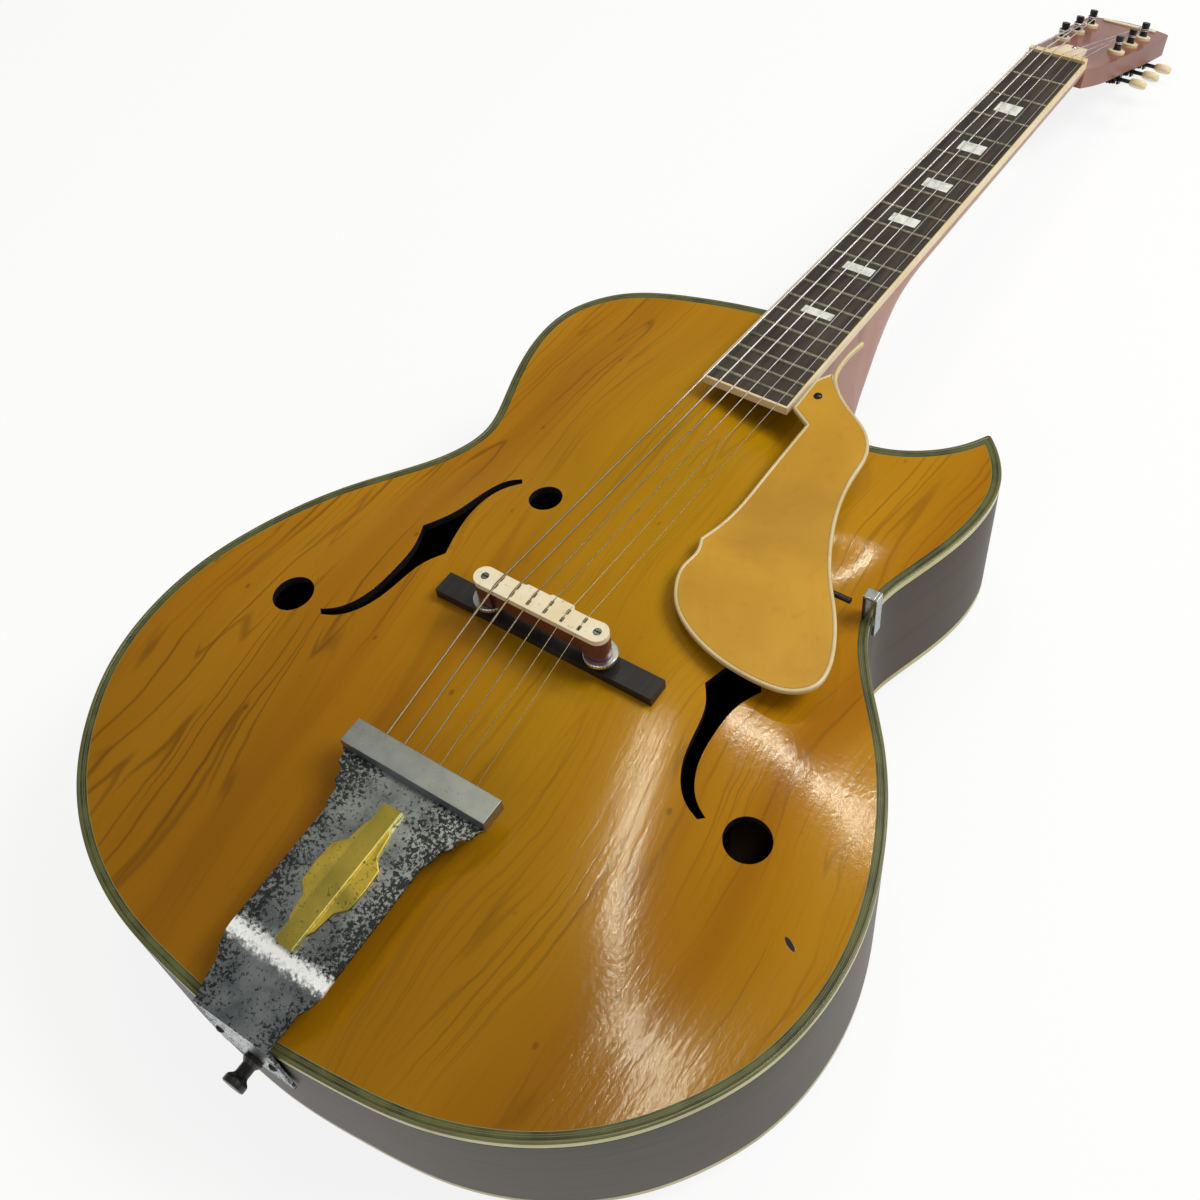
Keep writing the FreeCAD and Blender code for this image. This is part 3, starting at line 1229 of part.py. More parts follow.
def tailpiece_bar():
    """The box-like bar at the tailpiece's end, open towards the bridge where the strings come out."""
    half = TAIL_BAR_WIDTH / 2
    bar = box_between(V(-half, TAIL_BAR_Y, TAIL_BAR_LOW), V(half, TAIL_BAR_Y + TAIL_BAR_LENGTH, TAIL_BAR_HIGH))
    hollow = box_between(V(-half + TAIL_BAR_WALL, TAIL_BAR_Y + TAIL_BAR_WALL, TAIL_BAR_LOW - OVERRUN),
                         V(half - TAIL_BAR_WALL, TAIL_BAR_Y + TAIL_BAR_LENGTH - TAIL_BAR_WALL,
                           TAIL_BAR_HIGH - TAIL_BAR_WALL))
    slots = []
    for index, diameter in enumerate(STRING_DIAMETERS):
        x = string_x(index, STRING_TAIL_SPREAD)
        gap = diameter / 2 + STRING_GROOVE
        slots.append(box_between(V(x - gap, TAIL_BAR_Y + TAIL_BAR_LENGTH - TAIL_BAR_WALL - GLUE_LINE, TAIL_BAR_LOW - OVERRUN),
                                 V(x + gap, TAIL_BAR_Y + TAIL_BAR_LENGTH + OVERRUN, TAIL_BAR_HIGH - TAIL_BAR_WALL)))
    return bar.cut([hollow] + slots)


def tailpiece_ornament():
    """A stepped brass plate with a long bar over it, lying on the tailpiece."""
    length = ORNAMENT_HIGH_Y - ORNAMENT_LOW_Y
    half = ORNAMENT_PLATE_WIDTH / 2
    right = [V(half * across, ORNAMENT_LOW_Y + length * along, 0) for across, along in ORNAMENT_SHARES]
    plate_plan = outline_face(right + [V(-point.x, point.y, 0) for point in reversed(right)],
                              list(range(2 * len(right))))
    bar_plan = Part.makePlane(ORNAMENT_BAR_WIDTH, length, V(-ORNAMENT_BAR_WIDTH / 2, ORNAMENT_LOW_Y, 0))
    low_layer = tail_profile(TAIL_SHEET, TAIL_SHEET + ORNAMENT_PLATE_RISE)
    high_layer = tail_profile(TAIL_SHEET, TAIL_SHEET + ORNAMENT_BAR_RISE)
    reach = TAIL_BAR_HIGH + OVERRUN
    bar = largest(high_layer.common(raised(bar_plan, 0, reach)))
    plate = low_layer.common(raised(plate_plan, 0, reach)).cut(bar)
    return Part.makeCompound([bar] + plate.Solids)


def strap_button():
    """The end pin: a peg in the tail block with a waisted button outside."""
    start = -TAIL_STANDOFF - TAIL_SHEET
    outer = start - STRAP_LENGTH
    profile = [V(0, STRAP_PEG_LENGTH, 0), V(STRAP_PEG_RADIUS, STRAP_PEG_LENGTH, 0), V(STRAP_PEG_RADIUS, start, 0),
               V(STRAP_SEAT_RADIUS, start, 0), V(STRAP_SEAT_RADIUS, start - STRAP_SEAT, 0),
               V(STRAP_NECK_RADIUS, start - 2 * STRAP_SEAT, 0),
               V(STRAP_NECK_RADIUS, outer + STRAP_FLANGE + STRAP_SEAT, 0),
               V(STRAP_FLANGE_RADIUS, outer + STRAP_FLANGE, 0), V(STRAP_FLANGE_RADIUS, outer, 0), V(0, outer, 0)]
    face = Part.Face(Part.makePolygon(profile + profile[:1]))
    button = face.revolve(ORIGIN, Y_AXIS, 360)
    button.translate(V(0, 0, -BUTTON_Z))
    return button


def peg_hole():
    """The hole in rib and tail block that the end pin fills."""
    return Part.makeCylinder(STRAP_PEG_RADIUS, STRAP_PEG_LENGTH + OVERRUN, V(0, -OVERRUN, -BUTTON_Z), Y_AXIS)


# Pickguard

def guard_points():
    """Points of the pickguard's outline, anticlockwise from its tip."""
    return [V(GUARD_X + GUARD_WIDTH * x, GUARD_Y + GUARD_LENGTH * y, 0) for x, y in GUARD_SHARES]


def guard_screw_places():
    """The seat of the screw on the guard, beside the fingerboard."""
    return [V(GUARD_SCREW_X, GUARD_SCREW_Y, GUARD_TOP)]


def pickguard_pieces():
    """The guard, its bound edge, the rod and clip that hold it, and its screws."""
    low = GUARD_TOP - GUARD_THICKNESS
    outer = raised(outline_face(guard_points(), GUARD_CORNERS), low, GUARD_TOP)
    inner_face = outline_face(inset_points(guard_points(), GUARD_BINDING), GUARD_CORNERS)
    inner = raised(inner_face, low, GUARD_TOP)
    cutters = screw_cutters(guard_screw_places(), ORIGIN_PLACE)
    return {"pickguard": inner.cut(cutters),
            "pickguard_binding": outer.cut(inner).cut(cutters)}


def waist_x():
    """Side place of the rim on the treble side at the bracket."""
    probe = Part.makePlane(LOWER_BOUT_WIDTH, BRACKET_WIDTH, V(0, BRACKET_Y - BRACKET_WIDTH / 2, 0))
    return planform(0).common(probe).optimalBoundingBox(False, False).XMax


def pickguard_bracket():
    """A rod under the guard that ends in a clip folded over the rim, and a spacer at the guard's screw."""
    rim = waist_x() + TAIL_STANDOFF
    top = GUARD_TOP - GUARD_THICKNESS - GLUE_LINE
    rod_z = top - BRACKET_ROD_RADIUS
    rod = Part.makeCylinder(BRACKET_ROD_RADIUS, rim - BRACKET_ROD_X, V(BRACKET_ROD_X, BRACKET_Y, rod_z), X_AXIS)
    half = BRACKET_WIDTH / 2
    leg = box_between(V(rim, BRACKET_Y - half, -BRACKET_DROP), V(rim + BRACKET_SHEET, BRACKET_Y + half, top))
    inner = rim - BRACKET_WIDTH
    crown = box_between(V(inner, BRACKET_Y - half, top - BRACKET_SHEET), V(rim, BRACKET_Y + half, top))
    foot = box_between(V(inner, BRACKET_Y - half, TAIL_STANDOFF), V(inner + BRACKET_SHEET, BRACKET_Y + half, top))
    spacer = Part.makeCylinder(GUARD_POST_RADIUS, BODY_DEPTH, V(GUARD_SCREW_X, GUARD_SCREW_Y, top - BODY_DEPTH))
    spacer = spacer.cut([layer(TOP_FACE, GLUE_LINE, -BODY_DEPTH)] + screw_cutters(guard_screw_places(), ORIGIN_PLACE))
    return Part.makeCompound([rod.fuse([leg, crown, foot]).removeSplitter(), largest(spacer)])


# Strings

def arc_edge(start, direction, end):
    """The arc that leaves start along direction and reaches end."""
    chord = end - start
    across = direction - chord * (direction.dot(chord) / chord.dot(chord))
    if across.Length < 1e-7:
        return Part.LineSegment(start, end).toShape()
    angle = direction.getAngle(chord)
    middle = (start + end) / 2 + across.normalize() * (chord.Length / 2 * math.tan(angle / 2))
    return Part.Arc(start, middle, end).toShape()


def biarc_edges(start, first, end, last):
    """Two arcs from start along first to end along last, with one tangent where they meet."""
    chord = end - start
    both = first + last
    spread = 2 * (1 - first.dot(last))
    along = chord.dot(both)
    reach = (math.sqrt(along * along + spread * chord.dot(chord)) - along) / spread
    middle = (start + end + (first - last) * reach) / 2
    joint = (middle - start - first * reach).normalize()
    return [arc_edge(start, first, middle), arc_edge(middle, joint, end)]


def rounded_run(points, radius):
    """Straight runs through the points with tangent arcs at the corners between."""
    edges = []
    start = points[0]
    for before, corner, after in zip(points, points[1:], points[2:]):
        incoming = (corner - before).normalize()
        outgoing = (after - corner).normalize()
        trim = radius * math.tan(incoming.getAngle(outgoing) / 2)
        leave = corner - incoming * trim
        meet = corner + outgoing * trim
        edges.append(Part.LineSegment(start, leave).toShape())
        edges.append(arc_edge(leave, incoming, meet))
        start = meet
    edges.append(Part.LineSegment(start, points[-1]).toShape())
    return edges


def wrap_points(index):
    """Centre line of a string's turns on its post: points with directions, in the body's frame."""
    number = len(STRING_DIAMETERS) - index
    side, along = tuner_places()[number - 1]
    diameter = STRING_DIAMETERS[index]
    radius = POST_WAIST_RADIUS + WRAP_CLEARANCE + diameter / 2
    centre = V(side * TUNER_ROW_HALF, along, 0)
    start = HEAD_PLACE.inverse().multVec(nut_point(index))
    out = V(centre.x - start.x, centre.y - start.y, 0)
    lean = math.asin(radius / out.Length)
    heading = math.atan2(out.y, out.x) + side * lean
    first = heading + side * math.pi / 2
    drop = diameter + WRAP_GAP
    top = WRAP_START - diameter / 2
    steps = WRAP_TURNS * WRAP_STEPS_PER_TURN
    slope = -drop / (2 * math.pi * radius)
    stops = []
    for step in range(steps + 1):
        turn = -side * 2 * math.pi * step / WRAP_STEPS_PER_TURN
        angle = first + turn
        spot = V(centre.x + radius * math.cos(angle), centre.y + radius * math.sin(angle),
                 top - drop * step / WRAP_STEPS_PER_TURN)
        going = V(math.cos(heading + turn), math.sin(heading + turn), slope).normalize()
        stops.append((spot, going))
    run = (stops[0][0] - start).normalize()
    stops[0] = (stops[0][0], run)
    turn_only = HEAD_PLACE.Rotation
    return [(HEAD_PLACE.multVec(spot), turn_only.multVec(going)) for spot, going in stops]


def string_path(index):
    """All edges of a string's centre line, from the tailpiece to the end of its turns."""
    stops = wrap_points(index)
    points = [tail_point(index), saddle_point(index), nut_point(index), stops[0][0]]
    edges = rounded_run(points, STRING_BEND)
    for (start, first), (end, last) in zip(stops, stops[1:]):
        edges += biarc_edges(start, first, end, last)
    spot, going = stops[-1]
    edges.append(Part.LineSegment(spot, spot + going * WRAP_TAIL).toShape())
    return edges


def wrap_gap(index):
    """Least clear distance between neighbouring turns of one string."""
    stops = wrap_points(index)
    edges = []
    for (start, first), (end, last) in zip(stops, stops[1:]):
        edges += biarc_edges(start, first, end, last)
    points = []
    for edge in edges:
        points += edge.discretize(7)[:-1]
    turn = len(points) // WRAP_TURNS
    least = min(one.distanceToPoint(other) for place, one in enumerate(points)
                for other in points[place + turn // 2:])
    return least - STRING_DIAMETERS[index]


def guitar_string(index):
    """One string as an unbroken round wire."""
    edges = string_path(index)
    start = edges[0].valueAt(edges[0].FirstParameter)
    direction = edges[0].tangentAt(edges[0].FirstParameter)
    ring = Part.Wire([Part.makeCircle(STRING_DIAMETERS[index] / 2, start, direction)])
    return Part.Wire(edges).makePipeShell([ring], True, False)


# The whole guitar

def build():
    """Every node's shape by name, in the body's frame."""
    nodes = {"top_plate": top_plate(), "back_plate": back_plate()}
    nodes.update(box_sides())
    nodes.update(edge_bands())
    plans = block_plans()
    nodes.update({name: inside_box(plan) for name, plan in plans.items()})
    nodes.update(linings(plans))
    nodes["tone_bars"] = tone_bars()
    nodes["tail_block"] = nodes["tail_block"].cut(peg_hole())
    tail_cutters = [peg_hole()] + screw_cutters(tail_screw_places(), TAIL_PLACE)
    for name in ("bass_side", "treble_side", "tail_block"):
        nodes[name] = nodes[name].cut(tail_cutters)
    nodes["neck"] = neck()
    nodes["truss_rod"] = truss_rod()
    nodes["truss_rod_cover"] = truss_cover()
    nodes["truss_cover_screws"] = Part.makeCompound(small_screws(cover_screw_places(), HEAD_PLACE))
    nodes["headstock_plaque"] = head_plaque()
    nodes.update(board_pieces())
    nodes["nut"] = nut()
    nodes.update(tuner_pieces())
    nodes.update(pickguard_pieces())
    nodes["pickguard_bracket"] = pickguard_bracket()
    nodes["pickguard_screws"] = Part.makeCompound(small_screws(guard_screw_places(), ORIGIN_PLACE))
    nodes["bridge_base"] = bridge_base()
    nodes["bridge_posts"] = Part.makeCompound([bridge_post(-1), bridge_post(1)])
    nodes["thumbwheel_bass"] = thumbwheel(-1)
    nodes["thumbwheel_treble"] = thumbwheel(1)
    nodes["bridge_saddle"] = bridge_saddle()
    nodes["bridge_cap"] = bridge_cap()
    nodes["tailpiece_plate"] = tailpiece_plate()
    nodes["tailpiece_string_bar"] = tailpiece_bar()
    nodes["tailpiece_ornament"] = tailpiece_ornament()
    nodes["tailpiece_screws"] = Part.makeCompound(small_screws(tail_screw_places(), TAIL_PLACE))
    nodes["strap_button"] = strap_button()
    for index in range(len(STRING_DIAMETERS)):
        nodes["string_%d" % (len(STRING_DIAMETERS) - index)] = guitar_string(index)
    return nodes


def main():
    """Set the guitar on its back over the origin and write one file per node."""
    os.makedirs("parts", exist_ok=True)
    nodes = build()
    whole = FreeCAD.BoundBox()
    for shape in nodes.values():
        whole.add(shape.optimalBoundingBox(True, False))
    shift = V(0, -(whole.YMin + whole.YMax) / 2, -whole.ZMin)
    for name, shape in nodes.items():
        shape.translate(shift)
        shape.exportStep("parts/%s.step" % name)
    print("shift", shift, "size", whole.XLength, whole.YLength, whole.ZLength)
    for index in range(len(STRING_DIAMETERS)):
        print("string", len(STRING_DIAMETERS) - index, "least gap between turns", round(wrap_gap(index), 3))


main()
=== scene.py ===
"""Dresses the archtop guitar: lacquered woods, bound edges, worn metal fittings, strings and studio."""

import logging
import math
from contextlib import contextmanager
from dataclasses import dataclass
from enum import Enum
from typing import Any, Iterator, Sequence

import bmesh
import bpy
import numpy as np
from bpy.types import ColorRamp, Material, Mesh, NodeSocket, NodeTree, Object
from mathutils import Matrix, Vector
from mathutils.geometry import delaunay_2d_cdt


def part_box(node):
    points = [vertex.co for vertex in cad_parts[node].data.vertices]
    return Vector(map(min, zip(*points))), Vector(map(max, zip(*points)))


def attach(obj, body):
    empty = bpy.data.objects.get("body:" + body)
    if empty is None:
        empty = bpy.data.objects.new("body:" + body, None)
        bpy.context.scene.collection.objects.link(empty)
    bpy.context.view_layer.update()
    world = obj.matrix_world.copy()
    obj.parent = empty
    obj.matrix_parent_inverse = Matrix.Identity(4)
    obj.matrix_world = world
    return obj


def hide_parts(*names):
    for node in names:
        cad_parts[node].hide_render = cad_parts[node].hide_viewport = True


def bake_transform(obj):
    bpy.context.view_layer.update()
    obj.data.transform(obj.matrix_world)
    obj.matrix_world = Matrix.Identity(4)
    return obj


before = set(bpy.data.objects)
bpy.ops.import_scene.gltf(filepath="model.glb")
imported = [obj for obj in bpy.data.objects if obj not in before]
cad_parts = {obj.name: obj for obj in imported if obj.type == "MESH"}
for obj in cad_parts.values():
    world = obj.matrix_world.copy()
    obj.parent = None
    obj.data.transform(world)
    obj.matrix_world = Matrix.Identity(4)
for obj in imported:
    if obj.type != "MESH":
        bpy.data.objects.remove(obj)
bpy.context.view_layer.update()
LOG = logging.getLogger("guitar")
MM = 0.001
ROOT = "guitar"
SADDLE = "saddle"
WELD = 2e-6
FLAT = math.radians(0.5)
SHANK = 0.0018
Pair = tuple[float, float]
Triple = tuple[float, float, float]
Colour = Triple
Stops = Sequence[tuple[float, Colour]]
Faces = list[tuple[int, ...]]
Points = np.ndarray


class Grain(Enum):
    """Direction that a wood's grain runs in, as the axis that is stretched."""

    ALONG_NECK = (1.0, 0.06, 1.0)
    ALONG_RIB = (0.05, 1.0, 1.0)


class Winding(Enum):
    """Whether a string is plain steel or wrapped with fine wire."""

    PLAIN = 0
    WOUND = 1


# materials


class Nodes:
    """A node tree, with the one method that adds any node to it."""

    def __init__(self, tree: NodeTree) -> None:
        """Keeps the tree and empties it."""
        self.tree = tree
        tree.nodes.clear()

    def add(self, kind: str, settings: dict[str, Any] | None = None, sockets: dict[Any, Any] | None = None,
            output: Any = 0) -> NodeSocket | None:
        """Adds any node.

        Args:
            kind: The node's type name.
            settings: Attributes of the node, set first; "stops" gives a ramp's stops.
            sockets: Input name or index to a number, colour, socket or Value.
            output: Name or index of the output to return.

        Returns:
            The chosen output, or None for a node without one.
        """
        made = self.tree.nodes.new(kind)
        for key, item in (settings or {}).items():
            if key == "stops":
                self.set_stops(made.color_ramp, item)
            else:
                setattr(made, key, item)
        for key, item in (sockets or {}).items():
            item = item.socket if isinstance(item, Value) else item
            if isinstance(item, NodeSocket):
                self.tree.links.new(item, made.inputs[key])
            else:
                made.inputs[key].default_value = item
        return made.outputs[output] if made.outputs else None

    @staticmethod
    def set_stops(ramp: ColorRamp, stops: Stops) -> None:
        """Sets a colour ramp's stops.

        Args:
            ramp: The ramp.
            stops: Place and colour of each stop.
        """
        while len(ramp.elements) < len(stops):
            ramp.elements.new(0.5)
        for element, (position, colour) in zip(ramp.elements, stops):
            element.position = position
            element.color = (*colour, 1.0)


class Value:
    """One output socket of a material's tree, with arithmetic that adds Math nodes."""

    def __init__(self, paint: "Paint", socket: NodeSocket) -> None:
        """Keeps the socket and the material that it belongs to."""
        self.paint = paint
        self.socket = socket

    def maths(self, operation: str, *others: Any) -> "Value":
        """Adds a Math node on this value and the other operands."""
        sockets = {index: item for index, item in enumerate((self, *others))}
        return self.paint.node("ShaderNodeMath", {"operation": operation}, sockets)

    def flipped(self, operation: str, other: Any) -> "Value":
        """Adds a Math node whose first operand is the other one."""
        return self.paint.node("ShaderNodeMath", {"operation": operation}, {0: other, 1: self})

    def __add__(self, other: Any) -> "Value":
        """Sum."""
        return self.maths("ADD", other)

    __radd__ = __add__

    def __sub__(self, other: Any) -> "Value":
        """Difference."""
        return self.maths("SUBTRACT", other)

    def __rsub__(self, other: Any) -> "Value":
        """Difference with the number first."""
        return self.flipped("SUBTRACT", other)

    def __mul__(self, other: Any) -> "Value":
        """Product."""
        return self.maths("MULTIPLY", other)

    __rmul__ = __mul__

    def __truediv__(self, other: Any) -> "Value":
        """Quotient."""
        return self.maths("DIVIDE", other)

    def __rtruediv__(self, other: Any) -> "Value":
        """Quotient with the number first."""
        return self.flipped("DIVIDE", other)

    def __pow__(self, other: Any) -> "Value":
        """Power."""
        return self.maths("POWER", other)

    def __abs__(self) -> "Value":
        """Size without its sign."""
        return self.maths("ABSOLUTE")

    def band(self, low: float, high: float) -> "Value":
        """Smooth step from 0 at low to 1 at high."""
        sockets = {"Value": self, "From Min": low, "From Max": high}
        return self.paint.node("ShaderNodeMapRange", {"interpolation_type": "SMOOTHSTEP"}, sockets)


class Paint(Nodes):
    """Builds one material around a Principled shader."""

    def __init__(self, name: str) -> None:
        """Starts an empty material.

        Args:
            name: The material's name.
        """
        self.material = bpy.data.materials.new(name)
        self.material.use_nodes = True
        super().__init__(self.material.node_tree)
        self.object_coords: Value | None = None

    def node(self, *settings: Any) -> Value:
        """Adds any node, as add does, and wraps its output."""
        return Value(self, self.add(*settings))

    def coords(self, scale: Triple = (1.0, 1.0, 1.0), source: Value | None = None) -> Value:
        """Object coordinates, stretched.

        Args:
            scale: Stretch of each axis.
            source: Another vector to map in place of the object's coordinates.

        Returns:
            The mapped vector.
        """
        if source is None:
            if self.object_coords is None:
                self.object_coords = self.node("ShaderNodeTexCoord", None, None, "Object")
            source = self.object_coords
        return self.node("ShaderNodeMapping", None, {"Vector": source, "Scale": scale})

    def axis(self, name: str, source: Value | None = None) -> Value:
        """One axis of a vector, by default of the object's coordinates."""
        return self.node("ShaderNodeSeparateXYZ", None, {0: source or self.coords()}, name)

    def noise(self, vector: Value, scale: float, detail: float = 3.0, roughness: float = 0.55,
              distortion: float = 0.0) -> Value:
        """Noise from 0 to 1.

        Args:
            vector: Where it is read.
            scale: Its frequency.
            detail: Octaves.
            roughness: Weight of the finer octaves.
            distortion: How much it is warped.

        Returns:
            The noise value.
        """
        sockets = {"Vector": vector, "Scale": scale, "Detail": detail, "Roughness": roughness,
                   "Distortion": distortion}
        return self.node("ShaderNodeTexNoise", None, sockets)

    def haze(self, stretch: Triple, detail: float, roughness: float = 0.55, distortion: float = 0.0) -> Value:
        """Noise over the object's coordinates, stretched along each axis."""
        return self.noise(self.coords(stretch), 1.0, detail, roughness, distortion)

    def ramp(self, value: Value, stops: Stops) -> Value:
        """A colour for each value between the stops."""
        return self.node("ShaderNodeValToRGB", {"stops": stops}, {0: value})

    def mix(self, factor: Any, first: Any, second: Any) -> Value:
        """A colour between two, factor 0 giving the first and 1 the second."""
        first, second = [item if isinstance(item, Value) else (*item, 1.0) for item in (first, second)]
        return self.node("ShaderNodeMix", {"data_type": "RGBA"}, {0: factor, 6: first, 7: second}, 2)

    def bump(self, height: Value, strength: float, distance: float) -> Value:
        """A normal bent by a height."""
        sockets = {"Height": height, "Strength": strength, "Distance": distance}
        return self.node("ShaderNodeBump", None, sockets)

    def surface(self, **inputs: Any) -> Material:
        """Closes the material with a Principled shader, given its sockets with underscores for spaces."""
        sockets = {key.replace("_", " "): item for key, item in inputs.items()}
        return self.shown(self.node("ShaderNodeBsdfPrincipled", None, sockets))

    def shown(self, shader: Value) -> Material:
        """Links a shader to the output and returns the material."""
        self.node("ShaderNodeOutputMaterial", None, {"Surface": shader})
        return self.material


@dataclass(frozen=True)
class TopLacquer:
    """Amber lacquer over plain-sawn wood with long wandering streaks."""

    name: str = "top_lacquer"
    pale: Colour = (0.45, 0.21, 0.006)
    amber: Colour = (0.38, 0.162, 0.003)
    deep: Colour = (0.29, 0.105, 0.002)
    olive: Colour = (0.39, 0.205, 0.004)
    streak: Colour = (0.115, 0.046, 0.003)
    brown: Colour = (0.15, 0.058, 0.001)
    dent_place: Pair = (0.179, 0.158)
    tail_y: float = 0.0

    def paint(self) -> Material:
        """Makes the material.

        Returns:
            The finished material.
        """
        p = Paint(self.name)
        drift = p.haze((3.0, 2.2, 0.0), 2.0)
        wander = p.haze((12.0, 9.0, 0.0), 2.0)
        ripple = p.haze((40.0, 60.0, 0.0), 1.0)
        x = p.axis("X") + (drift - 0.5) * 0.10 + (wander - 0.5) * 0.012 + (ripple - 0.5) * 0.002
        y = p.axis("Y")
        flow = p.node("ShaderNodeCombineXYZ", None, {0: x, 1: y * 0.06})
        fibre = p.node("ShaderNodeCombineXYZ", None, {0: x, 1: y * 0.03})
        tone = p.noise(flow, 16.0, 3.0)
        fine = p.noise(fibre, 520.0, 2.0)
        base = p.ramp(tone, [(0.3, self.deep), (0.48, self.amber), (0.68, self.pale)])
        side = abs(p.axis("X"))
        middle = 1.0 - side.band(0.03, 0.14)
        cloud = p.haze((5.0, 3.0, 0.0), 2.0)
        base = p.mix(middle * cloud.band(0.35, 0.65) * 0.75, base, self.olive)
        away = (0.35 + 0.65 * side.band(0.04, 0.12)) * (1.0 - p.axis("X").band(0.05, 0.12) * 0.5)
        furrow: Any = 0.0
        for scale, count, shift in ((19.0, 15.0, 0.0), (33.0, 11.0, 3.7)):
            spot = p.node("ShaderNodeVectorMath", {"operation": "ADD"}, {0: flow, 1: (shift, shift, 0.0)})
            level = p.noise(spot, scale, 1.5, 0.45)
            gate = p.haze((24.0 + shift, 6.0, 0.0), 2.0)
            near = abs((level * count).maths("FRACT") - 0.5)
            width = 0.07 + gate.band(0.45, 0.75) * 0.1
            line = (1.0 - (near / width).band(0.0, 1.0)) * gate.band(0.4, 0.62) * away
            base = p.mix(line * 0.72, base, self.streak)
            furrow = line + furrow
        base = p.mix(fine.band(0.52, 0.75) * 0.3, base, self.deep)
        age = 1.0 - (y - self.tail_y).band(0.02, 0.28)
        base = p.mix(age * 0.55, base, self.brown)
        speck = p.node("ShaderNodeTexVoronoi", None, {"Vector": p.coords((75.0, 50.0, 0.0)), "Scale": 1.0})
        rare = p.haze((30.0, 20.0, 0.0), 1.0).band(0.55, 0.62)
        base = p.mix((1.0 - speck.band(0.05, 0.13)) * rare * 0.6, base, self.streak)
        dent = self.dent(p)
        base = p.mix(dent, base, (0.012, 0.006, 0.003))
        rough = 0.05 + tone * 0.05 + fine * 0.07 + dent * 0.4
        skin = p.haze((260.0, 60.0, 0.0), 2.0)
        grit = p.haze((420.0, 300.0, 0.0), 2.0)
        height = fine * 0.3 + skin * 0.5 + grit * 0.6 + p.noise(flow, 90.0, 2.0)
        height = height - furrow * 0.25 - dent * 4.0
        return p.surface(Base_Color=base, Roughness=rough, Normal=p.bump(height, 0.1, 0.0006),
                         Specular_IOR_Level=0.22)

    def dent(self, p: Paint) -> Value:
        """Mask of the one dark dent on the lower treble bout.

        Args:
            p: The material that it is for.

        Returns:
            A value that is 1 in the dent.
        """
        across = p.axis("X") - self.dent_place[0]
        along = p.axis("Y") - (self.dent_place[1] + self.tail_y)
        turned = across * 0.87 - along * 0.5
        square = across * 0.5 + along * 0.87
        reach = (turned / 0.0042) ** 2.0 + (square / 0.0014) ** 2.0
        return 1.0 - reach.band(0.6, 1.1)


@dataclass(frozen=True)
class StainedWood:
    """Stained and lacquered wood of sides, back, neck or saddle."""

    name: str
    light: Colour
    dark: Colour
    grain: Grain = Grain.ALONG_NECK
    roughness: float = 0.3
    coat: float = 0.5
    pitch: float = 150.0
    follows_uv: bool = False
    paler_and_lit: Colour | None = None

    def paint(self) -> Material:
        """Makes the material; the wood is painted paler up to the head, partly its own paler tone and partly
        painted light.

        Returns:
            The finished material.
        """
        p = Paint(self.name)
        source = p.node("ShaderNodeTexCoord", None, None, "UV") if self.follows_uv else None
        lay = p.coords(self.grain.value, source)
        broad = p.noise(lay, self.pitch * 0.25, 3.0, 0.5, 0.4)
        fibre = p.noise(lay, self.pitch * 3.0, 3.0, 0.6)
        pore = p.noise(lay, self.pitch * 7.0, 1.0)
        base = p.ramp(broad, [(0.3, self.dark), (0.7, self.light)])
        base = p.mix(fibre.band(0.5, 0.8) * 0.5, base, self.dark)
        scuff = p.haze((9.0, 9.0, 9.0), 4.0)
        if self.paler_and_lit is not None:
            # partly the wood's paler tone and partly painted light: towards the heel the neck is mixed to a
            # paler colour that stands for the brighter light there
            paler_and_lit_share = (1.0 - p.axis("Y").band(0.28, 0.42)) * (0.55 + scuff * 0.3)
            base = p.mix(paler_and_lit_share, base, self.paler_and_lit)
        rough = self.roughness + scuff * 0.12 + pore * 0.06
        height = fibre * 0.7 + pore.band(0.55, 0.8) * -0.6
        return p.surface(Base_Color=base, Roughness=rough, Normal=p.bump(height, 0.12, 0.0004),
                         Coat_Weight=self.coat, Coat_Roughness=0.12, Coat_IOR=1.3, Specular_IOR_Level=0.22)


@dataclass(frozen=True)
class DarkBoard:
    """Near-black open-pored wood of the fingerboard and the bridge's foot."""

    name: str
    dark: Colour = (0.022, 0.018, 0.013)
    brown: Colour = (0.07, 0.055, 0.038)

    def paint(self) -> Material:
        """Makes the material.

        Returns:
            The finished material.
        """
        p = Paint(self.name)
        lay = p.coords(Grain.ALONG_NECK.value)
        streak = p.noise(lay, 240.0, 3.0)
        pore = p.noise(lay, 1500.0, 2.0)
        grime = p.haze((40.0, 40.0, 40.0), 3.0)
        base = p.ramp(streak, [(0.35, self.dark), (0.75, self.brown)])
        base = p.mix(grime.band(0.55, 0.8) * 0.3, base, (0.075, 0.062, 0.055))
        height = streak * 0.4 - pore.band(0.58, 0.75)
        return p.surface(Base_Color=base, Roughness=0.42 + grime * 0.16,
                         Normal=p.bump(height, 0.25, 0.0003), Specular_IOR_Level=0.45)


